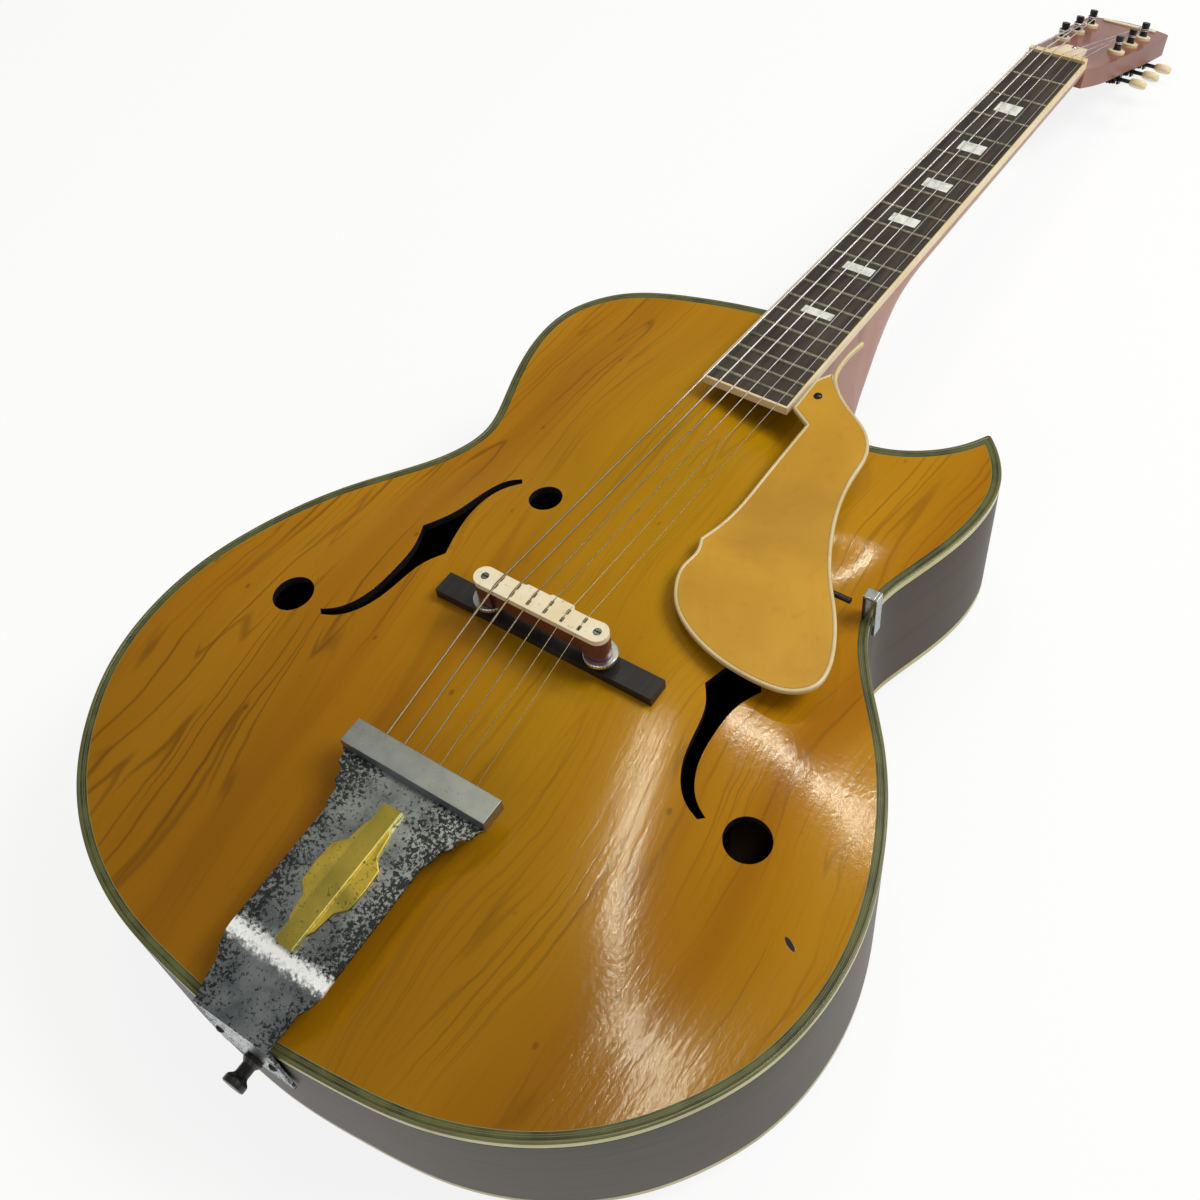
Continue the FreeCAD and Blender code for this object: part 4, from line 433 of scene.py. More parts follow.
@dataclass(frozen=True)
class AgedPlastic:
    """Yellowed celluloid of bindings, buttons, nut and cap."""

    name: str
    fresh: Colour = (0.74, 0.62, 0.36)
    aged: Colour = (0.62, 0.46, 0.19)
    grime: Colour = (0.16, 0.10, 0.04)
    roughness: float = 0.3
    dirt: float = 0.35
    scale: float = 120.0
    notch_y: float | None = None
    notch_gap: float = 0.01

    def paint(self) -> Material:
        """Makes the material.

        Returns:
            The finished material.
        """
        p = Paint(self.name)
        place = p.coords()
        cloud = p.noise(place, self.scale * 0.2, 3.0)
        stain = p.noise(place, self.scale, 4.0, 0.65)
        scratch = p.noise(p.coords((30.0, 1.5, 30.0)), self.scale * 0.4, 2.0)
        base = p.ramp(cloud, [(0.3, self.aged), (0.65, self.fresh)])
        base = p.mix(stain.band(0.56, 0.78) * self.dirt, base, self.grime)
        if self.notch_y is not None:
            base = p.mix(self.notches(p), base, (0.035, 0.022, 0.012))
        rough = self.roughness + stain * 0.16
        height = scratch * 0.5 + stain * 0.5
        return p.surface(Base_Color=base, Roughness=rough, Normal=p.bump(height, 0.08, 0.0003),
                         Coat_Weight=0.2, Coat_Roughness=0.15, Subsurface_Weight=0.04)

    def notches(self, p: Paint) -> Value:
        """Mask of the worn notches in front of and behind each string.

        Args:
            p: The material that it is for.

        Returns:
            A value that is 1 in a notch.
        """
        across = p.axis("X")
        near = abs((across / self.notch_gap).maths("FRACT") - 0.5) * self.notch_gap
        along = abs(p.axis("Y") - self.notch_y) - 0.0026
        stripe = 1.0 - abs(along).band(0.0012, 0.0019)
        within = 1.0 - abs(across).band(0.0275, 0.0285)
        return (1.0 - near.band(0.0006, 0.0011)) * stripe * within


@dataclass(frozen=True)
class PliedBand:
    """Olive purfling of several thin plies with pale lines between them; the line by its inner edge is a
    painted highlight.
    """

    name: str = "plied_band"
    olive: Colour = (0.075, 0.082, 0.022)
    dark: Colour = (0.025, 0.028, 0.010)
    pale: Colour = (0.30, 0.30, 0.13)

    def paint(self) -> Material:
        """Makes the material; the piece's own UV map runs across the band.

        Returns:
            The finished material.
        """
        p = Paint(self.name)
        across = p.axis("Y", p.node("ShaderNodeTexCoord", None, None, "UV"))
        wear = p.haze((70.0, 70.0, 70.0), 3.0)
        base = p.mix(wear.band(0.35, 0.7), self.olive, self.dark)
        # the line at 0.03, by the band's inner edge, is a painted highlight; those at 0.42 and 0.66 are pale
        # plies
        for place, share in ((0.03, 1.0), (0.42, 0.5), (0.66, 0.5)):
            line = 1.0 - abs(across - place).band(0.028, 0.055)
            base = p.mix(line * (0.35 + wear * 0.6) * share, base, self.pale)
        return p.surface(Base_Color=base, Roughness=0.4 + wear * 0.15, Coat_Weight=0.1, Coat_Roughness=0.2,
                         Normal=p.bump(wear, 0.05, 0.0003), Specular_IOR_Level=0.3)


@dataclass(frozen=True)
class PearlBlock:
    """Pearly inlay with soft bands."""

    name: str = "pearl_block"
    shade: Colour = (0.50, 0.52, 0.44)
    milk: Colour = (0.74, 0.76, 0.70)
    gleam: Colour = (0.86, 0.85, 0.78)

    def paint(self) -> Material:
        """Makes the material.

        Returns:
            The finished material.
        """
        p = Paint(self.name)
        swirl = p.haze((90.0, 50.0, 90.0), 3.0, 0.5, 1.6)
        base = p.ramp(swirl, [(0.3, self.shade), (0.5, self.milk), (0.7, self.gleam)])
        return p.surface(Base_Color=base, Roughness=0.2 + swirl * 0.2, Coat_Weight=0.3, Coat_Roughness=0.1,
                         Normal=p.bump(swirl, 0.06, 0.0003))


@dataclass(frozen=True)
class GuardPlastic:
    """Golden mottled plate of the pickguard, browned where the hand rubs."""

    name: str = "guard_plastic"
    gold: Colour = (0.54, 0.29, 0.023)
    honey: Colour = (0.45, 0.23, 0.015)
    brown: Colour = (0.26, 0.12, 0.008)
    rub_place: Pair = (0.074, 0.345)
    tail_y: float = 0.0

    def paint(self) -> Material:
        """Makes the material.

        Returns:
            The finished material.
        """
        p = Paint(self.name)
        cloud = p.haze((16.0, 13.0, 0.0), 4.0, 0.55, 0.6)
        mottle = p.haze((150.0, 110.0, 0.0), 3.0)
        across = p.axis("X") - self.rub_place[0]
        along = p.axis("Y") - (self.rub_place[1] + self.tail_y)
        reach = ((across / 0.044) ** 2.0 + (along / 0.036) ** 2.0) + (cloud - 0.5) * 2.4
        rub = 1.0 - reach.band(0.1, 1.3)
        base = p.ramp(cloud, [(0.32, self.honey), (0.6, self.gold)])
        base = p.mix(rub * 0.26, base, self.brown)
        base = p.mix(mottle.band(0.55, 0.8) * 0.25, base, self.brown)
        rough = 0.28 + cloud * 0.1 + rub * 0.14 + mottle * 0.06
        return p.surface(Base_Color=base, Roughness=rough, Normal=p.bump(mottle + cloud, 0.07, 0.0004),
                         Specular_IOR_Level=0.3, Coat_Weight=0.1, Coat_Roughness=0.14)


@dataclass(frozen=True)
class WornPlating:
    """Plated metal with dark pits and a dulled bloom, with an optional painted highlight band and painted
    glints along a raised bar's edges.
    """

    name: str
    bright: Colour = (0.66, 0.67, 0.66)
    dull: Colour = (0.33, 0.34, 0.34)
    pit: Colour = (0.022, 0.024, 0.026)
    pits: float = 0.0
    roughness: float = 0.2
    metal: float = 1.0
    fine: float = 420.0
    edge: float = 0.0
    glare_y: float | None = None
    bar_half: float = 0.0

    def paint(self) -> Material:
        """Makes the material.

        Returns:
            The finished material.
        """
        p = Paint(self.name)
        place = p.coords()
        bloom = p.noise(place, self.fine * 0.12, 4.0, 0.6)
        grain = p.noise(place, self.fine, 4.0, 0.7)
        area = p.noise(place, self.fine * 0.05, 2.0, 0.5)
        base = p.ramp(bloom, [(0.35, self.dull), (0.62, self.bright)])
        rim = abs(p.axis("X")).band(0.004, 0.03) * self.edge
        start = 0.91 - self.pits * 0.12
        mask = (grain * 1.3 + area * 0.25 + rim * 0.17).band(start, start + 0.1)
        mask = mask * min(1.0, self.pits * 2.0)
        metallic = self.metal - mask * (0.15 * self.metal)
        if self.glare_y is not None:
            # painted highlight: a pale band across the plate at glare_y stands for a lamp's reflection in the
            # bend; it has less metal so it stays bright, and pits are kept out of it
            along = p.axis("Y") - self.glare_y + (grain - 0.5) * 0.016
            painted_glare = 1.0 - abs(along).band(0.0012, 0.0065)
            mask = mask * (1.0 - painted_glare)
            base = p.mix(painted_glare, base, (0.93, 0.94, 0.92))
            metallic = metallic - painted_glare * 0.75
        if self.bar_half:
            side = abs(p.axis("X")) - self.bar_half
            base = p.mix((1.0 - side.band(-0.0002, 0.0002)) * 0.62, base, self.dull)
            # painted highlight: a bright thin line along both edges of the raised bar stands for the glint on
            # its edges
            painted_edge_glint = 1.0 - abs(side).band(0.0002, 0.0005)
            base = p.mix(painted_edge_glint * 0.8, base, (0.85, 0.76, 0.3))
        base = p.mix(mask * 0.94, base, self.pit)
        rough = self.roughness + bloom * 0.16 + mask * 0.28
        return p.surface(Base_Color=base, Roughness=rough, Metallic=metallic,
                         Normal=p.bump(grain - mask * 1.4, 0.12, 0.0003))


@dataclass(frozen=True)
class StringMetal:
    """Steel string; a wound one shows its wrap as fine rings."""

    name: str
    winding: Winding
    colour: Colour
    polished: Colour = (0.80, 0.75, 0.76)
    tarnished: Colour = (0.16, 0.12, 0.075)
    wrap: float = 2600.0

    def paint(self) -> Material:
        """Makes the material.

        Returns:
            The finished material.
        """
        p = Paint(self.name)
        tarnish = p.haze((60.0, 25.0, 60.0), 3.0)
        played = p.axis("Y").band(-0.16, -0.04)
        base = p.mix(played, self.colour, self.polished)
        base = p.mix(tarnish.band(0.4, 0.75) * 0.5, base, self.tarnished)
        rings = (p.axis("Y") * self.wrap * math.tau).maths("SINE")
        height = rings * 0.5 + tarnish if self.winding is Winding.WOUND else tarnish
        strength = 0.5 if self.winding is Winding.WOUND else 0.1
        return p.surface(Base_Color=base, Roughness=0.32 + tarnish * 0.15, Metallic=0.85,
                         Normal=p.bump(height, strength, 0.0001))


class Palette:
    """Every finish of the guitar, made once."""

    def __init__(self, tail_y: float, bridge_y: float) -> None:
        """Makes the materials.

        Args:
            tail_y: Place of the tail edge along the guitar, in metres.
            bridge_y: Place of the bridge's middle along the guitar, in metres.
        """
        self.top = TopLacquer(tail_y=tail_y).paint()
        self.side = StainedWood("side_stain", (0.068, 0.05, 0.031), (0.036, 0.026, 0.016),
                                Grain.ALONG_RIB, 0.42, 0.08, 40.0, True).paint()
        self.back = StainedWood("back_stain", (0.15, 0.085, 0.045), (0.065, 0.035, 0.018)).paint()
        # the neck's paler colour towards the heel is partly painted light
        self.neck = StainedWood("neck_stain", (0.27, 0.105, 0.075), (0.16, 0.06, 0.042), roughness=0.36,
                                coat=0.2, paler_and_lit=(0.50, 0.27, 0.20)).paint()
        self.saddle = StainedWood("saddle_stain", (0.15, 0.036, 0.022), (0.07, 0.017, 0.011),
                                  roughness=0.35).paint()
        # painted shade: the inside's wood is darkened to stand for the shade inside the box
        self.inner = StainedWood("bare_wood", (0.07, 0.042, 0.021), (0.045, 0.026, 0.012), roughness=0.7,
                                 coat=0.0).paint()
        self.board = DarkBoard("dark_board").paint()
        self.foot = DarkBoard("foot_wood", (0.006, 0.005, 0.005), (0.016, 0.013, 0.012)).paint()
        self.binding = AgedPlastic("edge_binding", (0.56, 0.50, 0.22), (0.38, 0.33, 0.105), dirt=0.3).paint()
        self.rim = AgedPlastic("rim_face", (0.115, 0.115, 0.036), (0.065, 0.068, 0.02), dirt=0.3).paint()
        self.cream = AgedPlastic("cream_plastic", (0.80, 0.66, 0.43), (0.70, 0.52, 0.27), dirt=0.2).paint()
        self.cap = AgedPlastic("cap_plastic", (0.83, 0.74, 0.54), (0.76, 0.62, 0.38), (0.2, 0.12, 0.05), 0.28,
                               0.5, 260.0, bridge_y).paint()
        self.band = PliedBand().paint()
        self.pearl = PearlBlock().paint()
        self.guard = GuardPlastic(tail_y=tail_y).paint()
        # the tail plating has a painted highlight band across its bend at glare_y
        self.plating = WornPlating("tail_plating", (0.46, 0.49, 0.485), (0.22, 0.245, 0.25),
                                   (0.012, 0.013, 0.014), 0.5, roughness=0.2, fine=520.0, edge=1.0,
                                   glare_y=tail_y + 0.032).paint()
        self.bar = WornPlating("bar_plating", (0.375, 0.40, 0.385), (0.33, 0.352, 0.34), pits=0.16,
                               roughness=0.34, fine=900.0).paint()
        self.chrome = WornPlating("clip_chrome", (0.40, 0.43, 0.44), (0.22, 0.24, 0.25), pits=0.2).paint()
        self.trim = AgedPlastic("guard_trim", (0.66, 0.52, 0.28), (0.52, 0.38, 0.16), dirt=0.3).paint()
        self.bright = WornPlating("bright_plating", (0.74, 0.74, 0.72), (0.5, 0.5, 0.49), pits=0.1).paint()
        # the brass ornament has painted glints along the edges of its raised bar
        self.brass = WornPlating("brass_plate", (0.68, 0.51, 0.08), (0.40, 0.33, 0.065), (0.08, 0.065, 0.012),
                                 0.42, 0.28, bar_half=0.00525).paint()
        self.fret = WornPlating("fret_wire", (0.42, 0.39, 0.29), (0.24, 0.22, 0.16), pits=0.2,
                                roughness=0.34).paint()
        self.black = WornPlating("black_fitting", (0.016, 0.014, 0.013), (0.03, 0.026, 0.022), metal=0.0,
                                 roughness=0.25).paint()
        self.gun = WornPlating("dark_steel", (0.06, 0.058, 0.055), (0.028, 0.027, 0.026), pits=0.3,
                               roughness=0.3).paint()
        self.wound = StringMetal("wound_string", Winding.WOUND, (0.25, 0.20, 0.10)).paint()
        self.plain = StringMetal("plain_string", Winding.PLAIN, (0.29, 0.25, 0.14)).paint()


# mesh helpers


class Place:
    """Turns the drawing's millimetres into the model's metres."""

    def __init__(self) -> None:
        """Finds the tail edge and the rim plane from the bound edge of the top."""
        low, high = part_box("top_binding")
        self.shift = np.array([0.0, low.y, high.z])

    def __call__(self, points: Any) -> Points:
        """Places points given in millimetres."""
        return np.atleast_2d(np.asarray(points, float)) * MM + self.shift

    def box(self, node: str) -> list[Points]:
        """Lowest and highest corner of a CAD node, in the drawing's millimetres."""
        return [(np.array(corner) - self.shift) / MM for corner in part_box(node)]


def spline(points: Any, per: int) -> Points:
    """A smooth line through points.

    Args:
        points: The points, in order.
        per: Steps between two points.

    Returns:
        Dense points of a natural cubic spline by chord length.
    """
    knots = np.asarray(points, float)
    if len(knots) == 2:
        return np.linspace(knots[0], knots[1], per + 1)
    t = np.concatenate([[0.0], np.cumsum(np.linalg.norm(np.diff(knots, axis=0), axis=1))])
    h = np.diff(t)
    count = len(knots)
    matrix = np.eye(count)
    right = np.zeros_like(knots)
    for i in range(1, count - 1):
        matrix[i, i - 1:i + 2] = (h[i - 1], 2 * (h[i - 1] + h[i]), h[i])
        right[i] = 6 * ((knots[i + 1] - knots[i]) / h[i] - (knots[i] - knots[i - 1]) / h[i - 1])
    bend = np.linalg.solve(matrix, right)
    made = []
    for i in range(count - 1):
        for s in np.linspace(0.0, h[i], per, endpoint=False):
            a, b = h[i] - s, s
            made.append((bend[i] * a ** 3 + bend[i + 1] * b ** 3) / (6 * h[i])
                        + (knots[i] / h[i] - bend[i] * h[i] / 6) * a
                        + (knots[i + 1] / h[i] - bend[i + 1] * h[i] / 6) * b)
    made.append(knots[-1])
    return np.array(made)


def cornered(points: Any, corners: Sequence[int], per: int) -> Points:
    """A closed outline that is smooth between its corners.

    Args:
        points: The outline's points.
        corners: Indices of its sharp corners.
        per: Steps between two points.

    Returns:
        Dense points of the outline, the first one not repeated.
    """
    knots = [np.asarray(point, float) for point in points]
    count = len(knots)
    made = []
    for index, corner in enumerate(corners):
        following = corners[(index + 1) % len(corners)]
        steps = (following - corner) % count or count
        stretch = spline([knots[(corner + step) % count] for step in range(steps + 1)], per)
        made.append(stretch[:-1])
    return np.concatenate(made)


def shifted(line: Points, inset: float, closed: bool = False) -> Points:
    """A flat line moved to its left.

    Args:
        line: Points of the line.
        inset: How far it moves.
        closed: Whether its ends meet.

    Returns:
        The moved points.
    """
    if closed:
        before, after = np.roll(line, 1, 0), np.roll(line, -1, 0)
    else:
        before = np.vstack([2 * line[0] - line[1], line[:-1]])
        after = np.vstack([line[1:], 2 * line[-1] - line[-2]])
    first, second = line - before, after - line
    first /= np.linalg.norm(first, axis=1)[:, None]
    second /= np.linalg.norm(second, axis=1)[:, None]
    normal = np.stack([-(first + second)[:, 1], (first + second)[:, 0]], 1)
    normal /= np.linalg.norm(normal, axis=1)[:, None]
    slant = np.clip(normal[:, 1] * first[:, 0] - normal[:, 0] * first[:, 1], 0.35, 1.0)
    return line + normal * (inset / slant)[:, None]


def inside(points: Points, outline: Points) -> np.ndarray:
    """Finds which points lie inside a closed outline.

    Args:
        points: Flat points.
        outline: The outline's points.

    Returns:
        True for each point inside it.
    """
    x, y = points[:, 0], points[:, 1]
    result = np.zeros(len(points), bool)
    for (ax, ay), (bx, by) in zip(outline, np.roll(outline, -1, 0)):
        if ay == by:
            continue
        crosses = (ay > y) != (by > y)
        result ^= crosses & (x < (bx - ax) * (y - ay) / (by - ay) + ax)
    return result


def circle(x: float, y: float, radius: float, count: int = 32) -> Points:
    """Even points round a circle."""
    angle = np.linspace(0, math.tau, count, endpoint=False)
    return np.stack([x + radius * np.cos(angle), y + radius * np.sin(angle)], 1)


def raised(flat: Points, height: Any) -> Points:
    """Flat points lifted to one height or to one each."""
    return np.column_stack([flat, np.broadcast_to(height, len(flat))])


def chain(count: int, start: int = 0) -> list[tuple[int, int]]:
    """Edges that join points one after another."""
    return [(start + i, start + i + 1) for i in range(count - 1)]


def tube_faces(start: int, count: int, rows: int) -> Faces:
    """Faces of a closed bar whose rows of points go round it.

    Args:
        start: Index of its first point.
        count: Points in a row.
        rows: How many rows there are.

    Returns:
        Its walls and its two ends.
    """
    faces = []
    for row in range(rows):
        low, high = start + row * count, start + (row + 1) % rows * count
        faces += [(low + i, low + i + 1, high + i + 1, high + i) for i in range(count - 1)]
    faces.append(tuple(start + row * count for row in reversed(range(rows))))
    faces.append(tuple(start + row * count + count - 1 for row in range(rows)))
    return faces


def linked(name: str, data: Any) -> Object:
    """A new object in the scene.

    Args:
        name: Its name.
        data: Its mesh, lamp or camera.

    Returns:
        The object.
    """
    made = bpy.data.objects.new(name, data)
    bpy.context.scene.collection.objects.link(made)
    return made


@contextmanager
def opened(mesh: Mesh) -> Iterator[bmesh.types.BMesh]:
    """Opens a mesh for editing and writes it back.

    Args:
        mesh: The mesh.

    Yields:
        Its editable form.
    """
    form = bmesh.new()
    form.from_mesh(mesh)
    yield form
    form.to_mesh(mesh)
    form.free()


class Maker:
    """Turns points and faces into finished pieces that ride on the frame."""

    def __init__(self, place: Place) -> None:
        """Keeps the drawing's place."""
        self.place = place

    def mesh_object(self, name: str, points: Any, faces: Sequence[Sequence[int]],
                    edges: Sequence[Sequence[int]] = ()) -> Object:
        """A mesh object from placed points.

        Args:
            name: The piece's name.
            points: Points in metres.
            faces: Index lists.
            edges: Loose edges, for paths.

        Returns:
            The linked object.
        """
        mesh = bpy.data.meshes.new(name)
        mesh.from_pydata([tuple(point) for point in points], [tuple(edge) for edge in edges],
                         [tuple(face) for face in faces])
        mesh.update()
        return linked(name, mesh)

    def path(self, name: str, points: Points) -> Object:
        """Millimetre points joined by loose edges, for a sweep."""
        return self.mesh_object(name, self.place(points), [], chain(len(points)))

    def dressed(self, piece: Object, material: Material, slot: str,
                replaced: Sequence[str], body: str = ROOT, angle: float = 35.0) -> Object:
        """Shades a piece, gives it its finish and sets it on its body.

        Args:
            piece: The finished mesh.
            material: Its finish.
            slot: Name of a slot for that finish; not used.
            replaced: CAD nodes that it stands for.
            body: The body that it rides on; empty leaves it on none.
            angle: Edges sharper than this stay hard, in degrees.

        Returns:
            The same piece.
        """
        piece.data.materials.clear()
        piece.data.materials.append(material)
        harden(piece.data, angle)
        steady(piece)
        if body:
            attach(piece, body)
        if replaced:
            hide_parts(*replaced)
        LOG.info("piece %s: %d faces on %s", piece.name, len(piece.data.polygons), body or "two bodies")
        return piece

    def copy(self, node: str, bevel: float = 0.0) -> Object:
        """A welded copy of a CAD node, with its edges eased.

        Args:
            node: The node.
            bevel: Width of the eased edges, in millimetres.

        Returns:
            The copy, at the node's place.
        """
        form = bmesh.new()
        form.from_mesh(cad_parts[node].data)
        bmesh.ops.remove_doubles(form, verts=form.verts, dist=WELD)
        bmesh.ops.dissolve_degenerate(form, edges=form.edges, dist=WELD)
        if bevel:
            bmesh.ops.dissolve_limit(form, angle_limit=FLAT, verts=form.verts, edges=form.edges)
        mesh = bpy.data.meshes.new(node + "_dressed")
        form.to_mesh(mesh)
        form.free()
        made = linked(mesh.name, mesh)
        if bevel:
            ease(made, bevel, 2, 40.0)
        return made

    def redressed(self, node: str, material: Material, slot: str, bevel: float = 0.0,
                  body: str = ROOT, angle: float = 35.0) -> Object:
        """A copy of a CAD node with its finish, on its body, that stands for the node."""
        return self.dressed(self.copy(node, bevel), material, slot, [node], body, angle)

    def prism(self, name: str, outline: Points, low: float, high: float, bevel: float = 0.0,
              holes: Sequence[Points] = ()) -> Object:
        """A plate over a flat outline.

        Args:
            name: The piece's name.
            outline: The outline's points, in millimetres.
            low: Height of its underside.
            high: Height of its face.
            bevel: Width of the eased edges.
            holes: Outlines of through holes.

        Returns:
            The plate.
        """
        flat, triangles = flat_sheet(outline, holes, np.empty((0, 2)))
        made = self.shell(name, raised(flat, high), raised(flat, low), triangles)
        if bevel:
            weld_flat(made)
            ease(made, bevel, 3, 50.0)
        return made

    def shell(self, name: str, upper: Points, lower: Points,
              triangles: Sequence[Sequence[int]]) -> Object:
        """A closed solid between two sheets with the same triangles.

        Args:
            name: The piece's name.
            upper: Points of the upper sheet, in millimetres.
            lower: Points of the lower sheet.
            triangles: Index triples, anticlockwise from above.

        Returns:
            The solid.
        """
        count = len(upper)
        faces = [tuple(face) for face in triangles]
        directed = {(face[i], face[(i + 1) % 3]) for face in faces for i in range(3)}
        faces += [tuple(index + count for index in reversed(face)) for face in faces]
        faces += [(b, a, a + count, b + count) for a, b in directed if (b, a) not in directed]
        return self.mesh_object(name, self.place(np.vstack([upper, lower])), faces)


def flat_sheet(outline: Points, holes: Sequence[Points], filling: Points) -> tuple[Points, Faces]:
    """Triangles over a flat outline with holes.

    Args:
        outline: Closed outline.
        holes: Closed outlines of the holes.
        filling: More points inside it.

    Returns:
        The points and the triangles, anticlockwise.
    """
    points = [Vector(point) for point in outline]
    edges = [(i, (i + 1) % len(outline)) for i in range(len(outline))]
    for hole in holes:
        start = len(points)
        points += [Vector(point) for point in hole]
        edges += [(start + i, start + (i + 1) % len(hole)) for i in range(len(hole))]
    points += [Vector(point) for point in filling]
    flat, _, faces, *_ = delaunay_2d_cdt(points, edges, [], 0, 1e-5)
    spots = np.array([tuple(point) for point in flat])
    triangles = np.array([tuple(face) for face in faces])
    corners = spots[triangles]
    middles = corners.mean(1)
    keep = inside(middles, outline)
    for hole in holes:
        keep &= ~inside(middles, hole)
    spans = corners[:, 1:] - corners[:, :1]
    turned = spans[:, 0, 0] * spans[:, 1, 1] - spans[:, 0, 1] * spans[:, 1, 0] < 0
    triangles[turned] = triangles[turned][:, ::-1]
    kept = triangles[keep]
    used, renamed = np.unique(kept, return_inverse=True)
    return spots[used], [tuple(face) for face in renamed.reshape(kept.shape)]


def weld_flat(piece: Object) -> None:
    """Joins the triangles of flat faces so that a bevel runs clean."""
    with opened(piece.data) as form:
        bmesh.ops.dissolve_limit(form, angle_limit=FLAT, verts=form.verts, edges=form.edges)


def ease(piece: Object, width: float, segments: int, limit: float) -> None:
    """Eases a piece's edges.

    Args:
        piece: The piece, whose mesh is replaced.
        width: Width in millimetres.
        segments: Steps over the edge.
        limit: Edges sharper than this are eased, in degrees.
    """
    bevel = piece.modifiers.new("ease", "BEVEL")
    bevel.width = width * MM
    bevel.segments = segments
    bevel.limit_method = "ANGLE"
    bevel.angle_limit = math.radians(limit)
    bevel.use_clamp_overlap = True
    settle(piece)


def settle(piece: Object) -> None:
    """Turns a piece with modifiers into a plain mesh.

    Args:
        piece: The piece, whose modifiers go.
    """
    graph = bpy.context.evaluated_depsgraph_get()
    mesh = bpy.data.meshes.new_from_object(piece.evaluated_get(graph))
    piece.modifiers.clear()
    piece.data = mesh


def steady(piece: Object) -> None:
    """Lets a piece's large faces decide the shading at their edges.

    Args:
        piece: The piece, whose mesh is replaced.
    """
    weigh = piece.modifiers.new("steady", "WEIGHTED_NORMAL")
    weigh.mode = "FACE_AREA"
    weigh.keep_sharp = True
    settle(piece)


def harden(mesh: Mesh, angle: float) -> None:
    """Smooth shading with hard edges where faces meet sharply.

    Args:
        mesh: The mesh.
        angle: Edges sharper than this are hard, in degrees.
    """
    with opened(mesh) as form:
        for face in form.faces:
            face.smooth = True
        for edge in form.edges:
            edge.smooth = len(edge.link_faces) == 2 and edge.calc_face_angle(0.0) < math.radians(angle)


# geometry nodes


class Grower(Nodes):
    """Builds one geometry node tree with named inputs."""

    def __init__(self, name: str, **inputs: float) -> None:
        """Starts a tree.

        Args:
            name: The tree's name.
            inputs: Named sizes with their defaults.
        """
        super().__init__(bpy.data.node_groups.new(name, "GeometryNodeTree"))
        face = self.tree.interface
        face.new_socket("Geometry", in_out="INPUT", socket_type="NodeSocketGeometry")
        self.idents: dict[str, str] = {}
        for key, default in inputs.items():
            kind = "NodeSocketInt" if isinstance(default, int) else "NodeSocketFloat"
            socket = face.new_socket(key, in_out="INPUT", socket_type=kind)
            socket.default_value = default
            self.idents[key] = socket.identifier
        finish = face.new_socket("Finish", in_out="INPUT", socket_type="NodeSocketMaterial")
        self.idents["Finish"] = finish.identifier
        face.new_socket("Geometry", in_out="OUTPUT", socket_type="NodeSocketGeometry")
        self.entry = self.tree.nodes.new("NodeGroupInput")

    def size(self, name: str) -> NodeSocket:
        """The socket of a named input."""
        return self.entry.outputs[name]

    def sum(self, operation: str, first: Any, second: Any) -> NodeSocket:
        """Arithmetic on two sockets or numbers."""
        return self.add("ShaderNodeMath", {"operation": operation}, {0: first, 1: second})

    def vector(self, x: Any, y: Any, z: Any) -> NodeSocket:
        """A vector of three sockets or numbers."""
        return self.add("ShaderNodeCombineXYZ", None, {0: x, 1: y, 2: z})

    def attribute(self, name: str, kind: str) -> NodeSocket:
        """A value that each point brings along."""
        return self.add("GeometryNodeInputNamedAttribute", {"data_type": kind}, {"Name": name})

    def swept(self, path: NodeSocket, shape: NodeSocket) -> NodeSocket:
        """A capped bar of a given section along a path."""
        sockets = {"Curve": path, "Profile Curve": shape, "Fill Caps": True}
        return self.add("GeometryNodeCurveToMesh", None, sockets)

    def scatter(self, instance: NodeSocket, **sockets: Any) -> None:
        """Ends the tree with an instance on each point."""
        sockets = {"Points": self.size("Geometry"), "Instance": instance, **sockets}
        self.close(self.add("GeometryNodeInstanceOnPoints", None, sockets))

    def close(self, geometry: NodeSocket) -> None:
        """Ends the tree in real geometry with its finish.

        Args:
            geometry: What the tree has made.
        """
        real = self.add("GeometryNodeRealizeInstances", None, {0: geometry})
        sockets = {"Geometry": real, "Material": self.size("Finish")}
        dressed = self.add("GeometryNodeSetMaterial", None, sockets)
        last = self.tree.nodes.new("NodeGroupOutput")
        self.tree.links.new(dressed, last.inputs[0])

    def grow(self, piece: Object, material: Material, **sizes: float) -> Object:
        """Runs the tree on a piece and keeps the plain mesh.

        Args:
            piece: The object whose mesh feeds the tree.
            material: The finish.
            sizes: Values of the named inputs.

        Returns:
            The same object with the grown mesh.
        """
        grown = piece.modifiers.new("grow", "NODES")
        grown.node_group = self.tree
        grown[self.idents["Finish"]] = material
        for key, item in sizes.items():
            grown[self.idents[key]] = item
        settle(piece)
        return piece


def sweep_tree() -> Grower:
    """A tree that runs a rounded bar along the object's edges.

    Returns:
        The tree.
    """
    g = Grower("rounded_bar", Width=0.002, Height=0.005, Round=0.0005)
    path = g.add("GeometryNodeMeshToCurve", None, {0: g.size("Geometry")})
    path = g.add("GeometryNodeSetCurveNormal", {"mode": "Z_UP"}, {0: path})
    shape = g.add("GeometryNodeCurvePrimitiveQuadrilateral", None,
                  {"Width": g.size("Width"), "Height": g.size("Height")})
    shape = g.add("GeometryNodeFilletCurve", {"mode": "POLY"},
                  {"Curve": shape, "Count": 3, "Radius": g.size("Round"), "Limit Radius": True})
    g.close(g.swept(path, shape))
    return g


def wire_tree() -> Grower:
    """A tree that runs a round wire along the object's edges.

    Returns:
        The tree.
    """
    g = Grower("round_wire", Radius=0.0005, Sides=10)
    path = g.add("GeometryNodeMeshToCurve", None, {0: g.size("Geometry")})
    ring = g.add("GeometryNodeCurvePrimitiveCircle", None,
                 {"Resolution": g.size("Sides"), "Radius": g.size("Radius")})
    g.close(g.swept(path, ring))
    return g


